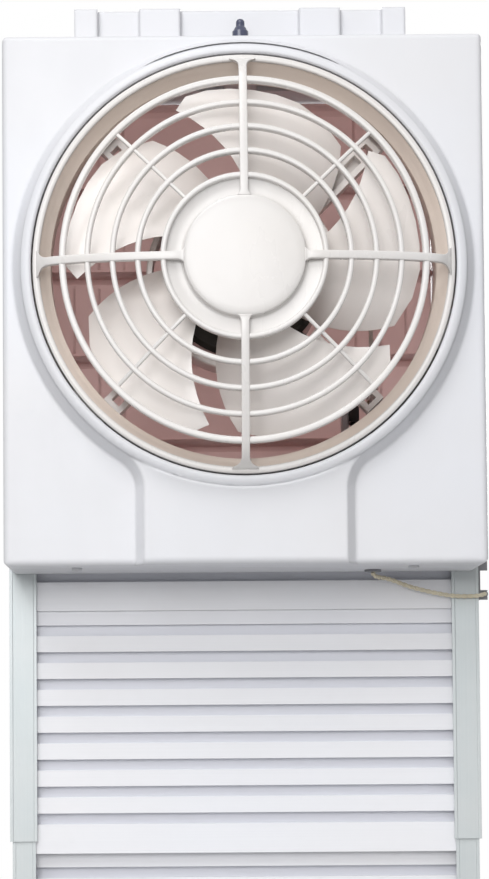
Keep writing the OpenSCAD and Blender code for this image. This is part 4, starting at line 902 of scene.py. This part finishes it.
class FAN_OT_guard(bpy.types.Operator):
    """Turns the guard's rim, rings and sunk centre, and lays its spokes on the dome"""
    bl_idname = "fan.guard"
    bl_label = "Guard"

    def execute(self, context):
        sizes = context.scene.fan_guard
        ring_w = sizes.ring_width / MM
        half = sizes.spoke_width / MM / 2
        edge = sizes.edge_radius / MM
        pieces = [lathe([(r, RIM_F - behind) for r, behind in RIM_SECTION], RIM_STEPS)]
        lug = [(r, RIM_F - behind) for r, behind in LUG_SECTION]
        for angle in LUG_ANGLES:
            pieces.append(lathe(lug, LUG_STEPS, start=90 - angle - LUG_SWEEP / 2, sweep=LUG_SWEEP))
        for k in range(RING_COUNT):
            r = FIRST_RING_R + RING_STEP * k
            wide = ring_w * (OUTER_RING_SCALE if k == RING_COUNT - 1 else 1.0) / 2
            section = rounded_section(r - wide, r + wide, dome(r), RING_D, edge)
            pieces.append(lathe(section, RING_STEPS))
        brow = [(BROW_AT[0] + BROW_R * math.cos(a), BROW_AT[1] + BROW_R * math.sin(a))
                for a in BROW_ANGLES]
        face = [(r, dome(r) - FACE_SUNK) for r in FACE_RADII]
        pieces.append(lathe(CHANNEL_SECTION + brow + face, RING_STEPS, closed=False))

        middle = half + FLARE_R
        hub_r = math.sqrt((HUB_R + FLARE_R) ** 2 - middle ** 2)
        edge_r = math.sqrt((FOOT_R - FLARE_R) ** 2 - middle ** 2)

        def broad_half(r):
            if r < hub_r:
                return middle - math.sqrt(max(0.0, FLARE_R ** 2 - (hub_r - r) ** 2))
            if r < edge_r:
                return half
            if r < edge_r + FLARE_R:
                return middle - math.sqrt(max(0.0, FLARE_R ** 2 - (r - edge_r) ** 2))
            return middle + FOOT_SPREAD * (r - edge_r - FLARE_R)

        def thin_half(r):
            return THIN_HALF

        def thin_front(r):
            return dome(r) - THIN_SUNK

        # the radii at which a broad spoke bends or widens
        broad = [34.6, 35.2, 36, 37, 38, hub_r, 42, 46, 52, 58, 64, 70, 76, 82, 88, 94, 100, 105,
                 109, 112, edge_r, 116.6, 117.8, 118.8, 119.6, 120.3, 121.0, 121.9]
        thin = [THIN_FROM + THIN_LENGTH * k / THIN_STEPS for k in range(THIN_STEPS + 1)]
        for turn in (0, 90, 180, 270):
            pieces.append(spoke(broad, broad_half, crown, BROAD_D, turn, edge))
            pieces.append(spoke(thin, thin_half, thin_front, THIN_D, turn + 45, THIN_EDGE))
        deselect()
        for piece in pieces:
            piece.select_set(True)
        bpy.context.view_layer.objects.active = pieces[0]
        bpy.ops.object.join()
        pieces[0].name = "guard_grille_finished"
        settle(pieces[0], "guard", "guard_plastic", ["guard_grille"], 40)
        return {"FINISHED"}


class FAN_OT_rounded(bpy.types.Operator):
    """Copies each solid in view, merges its triangles and rounds its edges a little"""
    bl_idname = "fan.rounded"
    bl_label = "Rounded edges"

    def execute(self, context):
        for name, (radius, crease) in ROUNDED.items():
            piece = merged_copy(name)
            if name == "front_cover":
                cove_neck(piece)
            apply_modifier(
                piece, "BEVEL", width=radius * MM, segments=2, limit_method="ANGLE",
                angle_limit=math.radians(crease), use_clamp_overlap=True)
            start_editing()
            bpy.ops.mesh.remove_doubles(threshold=ROUNDED_SEAM)
            stop_editing()
            settle(piece, BODY_OF_NODE[name], SLOT_OF_NODE[name], [name], crease)
            if name not in CURVED:
                apply_modifier(piece, "WEIGHTED_NORMAL", keep_sharp=True)
            if not piece.data.polygons:
                raise RuntimeError(name + " lost its faces")
        return {"FINISHED"}


class FAN_OT_sill_gasket(bpy.types.Operator):
    """Foam strip under the sill channel, its edges rounded and its skin uneven"""
    bl_idname = "fan.sill_gasket"
    bl_label = "Sill gasket"

    def execute(self, context):
        low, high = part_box("sill_gasket")
        deselect()
        bpy.ops.mesh.primitive_cube_add(size=1.0, location=(low + high) / 2)
        piece = bpy.context.object
        piece.name = "sill_gasket_foam"
        piece.scale = high - low
        pick(piece)
        bpy.ops.object.transform_apply(location=True, rotation=True, scale=True)
        start_editing()
        bpy.ops.mesh.bevel(offset=FOAM_EDGE, segments=4)
        long, deep = FOAM_PARTS
        cut((low.x + (high.x - low.x) * i / long for i in range(1, long)), (1, 0, 0))
        cut((low.y + (high.y - low.y) * i / deep for i in range(1, deep)), (0, 1, 0))
        stop_editing()
        skin = bpy.data.textures.new("foam skin", "CLOUDS")
        skin.noise_scale = FOAM_GRAIN
        apply_modifier(
            piece, "DISPLACE", texture=skin, strength=FOAM_SKIN, mid_level=0.7, texture_coords="LOCAL")
        settle(piece, BODY_OF_NODE["sill_gasket"], "foam", ["sill_gasket"], 50)
        return {"FINISHED"}


class FAN_OT_stage(bpy.types.Operator):
    """Sets the pale floor, the sky and the lamps"""
    bl_idname = "fan.stage"
    bl_label = "Stage"

    def execute(self, context):
        stage = context.scene.fan_stage
        scene = context.scene
        scene.view_settings.view_transform = "Standard"
        colour = tuple(stage.floor_colour)

        deselect()
        bpy.ops.mesh.primitive_plane_add(size=1.0, location=(0, 0, 0))
        floor = bpy.context.object
        floor.name = "floor"
        floor.scale = (FLOOR_WIDTH, FLOOR_WIDTH, 1.0)
        pick(floor)
        bpy.ops.object.transform_apply(location=True, rotation=True, scale=True)
        f = Finish("pale floor")
        patches = f.noise(1.5, 2.0)
        tone = f.blend(patches * 0.25, colour, shade(colour, (0.97, 0.97, 0.97)))
        f.done(tone, 0.75, f.bump(f.noise(300.0, 2.0), 0.0001))
        floor.data.materials.append(f.material)

        # the camera sees plain white, and the pieces get an even light that is weaker from below
        world = bpy.data.worlds.new("studio")
        scene.world = world
        world.use_nodes = True
        sky = Nodes(world.node_tree)
        heading = sky.node("ShaderNodeTexCoord", {}, {}, "Generated")
        height = sky.node("ShaderNodeSeparateXYZ", {}, {0: heading}, "Z")
        level = sky.band(height, SKY_FROM, SKY_TO, stage.low_level, stage.sky_level)
        white = (1.0, 1.0, 1.0)
        light = sky.node("ShaderNodeBackground", {}, {"Color": white, "Strength": level})
        seen = sky.node("ShaderNodeBackground", {}, {"Color": white, "Strength": 1.0})
        direct = sky.node("ShaderNodeLightPath", {}, {}, "Is Camera Ray")
        mixed = sky.node("ShaderNodeMixShader", {}, {0: direct, 1: light, 2: seen})
        sky.node("ShaderNodeOutputWorld", {}, {"Surface": mixed})

        for name, (place, width, power) in LAMPS.items():
            data = bpy.data.lights.new(name, "AREA")
            data.size = width
            data.energy = getattr(stage, power)
            lamp = bpy.data.objects.new(name, data)
            lamp.location = place
            aim = Vector(LAMP_TARGET) - Vector(place)
            lamp.rotation_euler = aim.to_track_quat("-Z", "Y").to_euler()
            scene.collection.objects.link(lamp)
        return {"FINISHED"}


class FAN_PT_pieces(bpy.types.Panel):
    """Lists the sizes, the colours and the pieces"""
    bl_label = "Window fan"
    bl_idname = "FAN_PT_pieces"
    bl_space_type = "VIEW_3D"
    bl_region_type = "UI"
    bl_category = "Window fan"

    def draw(self, context):
        for name in GROUPS:
            group = getattr(context.scene, name)
            box = self.layout.box()
            for key in group.bl_rna.properties.keys():
                if key not in {"rna_type", "name"}:
                    box.prop(group, key)
        for step in STEPS:
            self.layout.operator(step.bl_idname)


STEPS = (
    FAN_OT_camera,
    FAN_OT_finishes,
    FAN_OT_pull_cord,
    FAN_OT_inner_cord,
    FAN_OT_sill_gasket,
    FAN_OT_guard,
    FAN_OT_rounded,
    FAN_OT_stage,
)
GROUPS = {
    "fan_stage": StageSettings, "fan_colours": FinishColours, "fan_cord": CordSettings,
    "fan_guard": GuardSettings}


def register():
    for group in GROUPS.values():
        bpy.utils.register_class(group)
    for name, group in GROUPS.items():
        setattr(bpy.types.Scene, name, PointerProperty(type=group))
    for step in STEPS:
        bpy.utils.register_class(step)
    bpy.utils.register_class(FAN_PT_pieces)


def unregister():
    bpy.utils.unregister_class(FAN_PT_pieces)
    for step in reversed(STEPS):
        bpy.utils.unregister_class(step)
    for name, group in GROUPS.items():
        delattr(bpy.types.Scene, name)
        bpy.utils.unregister_class(group)


def main():
    register()
    for step in STEPS:
        family, name = step.bl_idname.split(".")
        getattr(getattr(bpy.ops, family), name)()


if __name__ == "__main__":
    main()
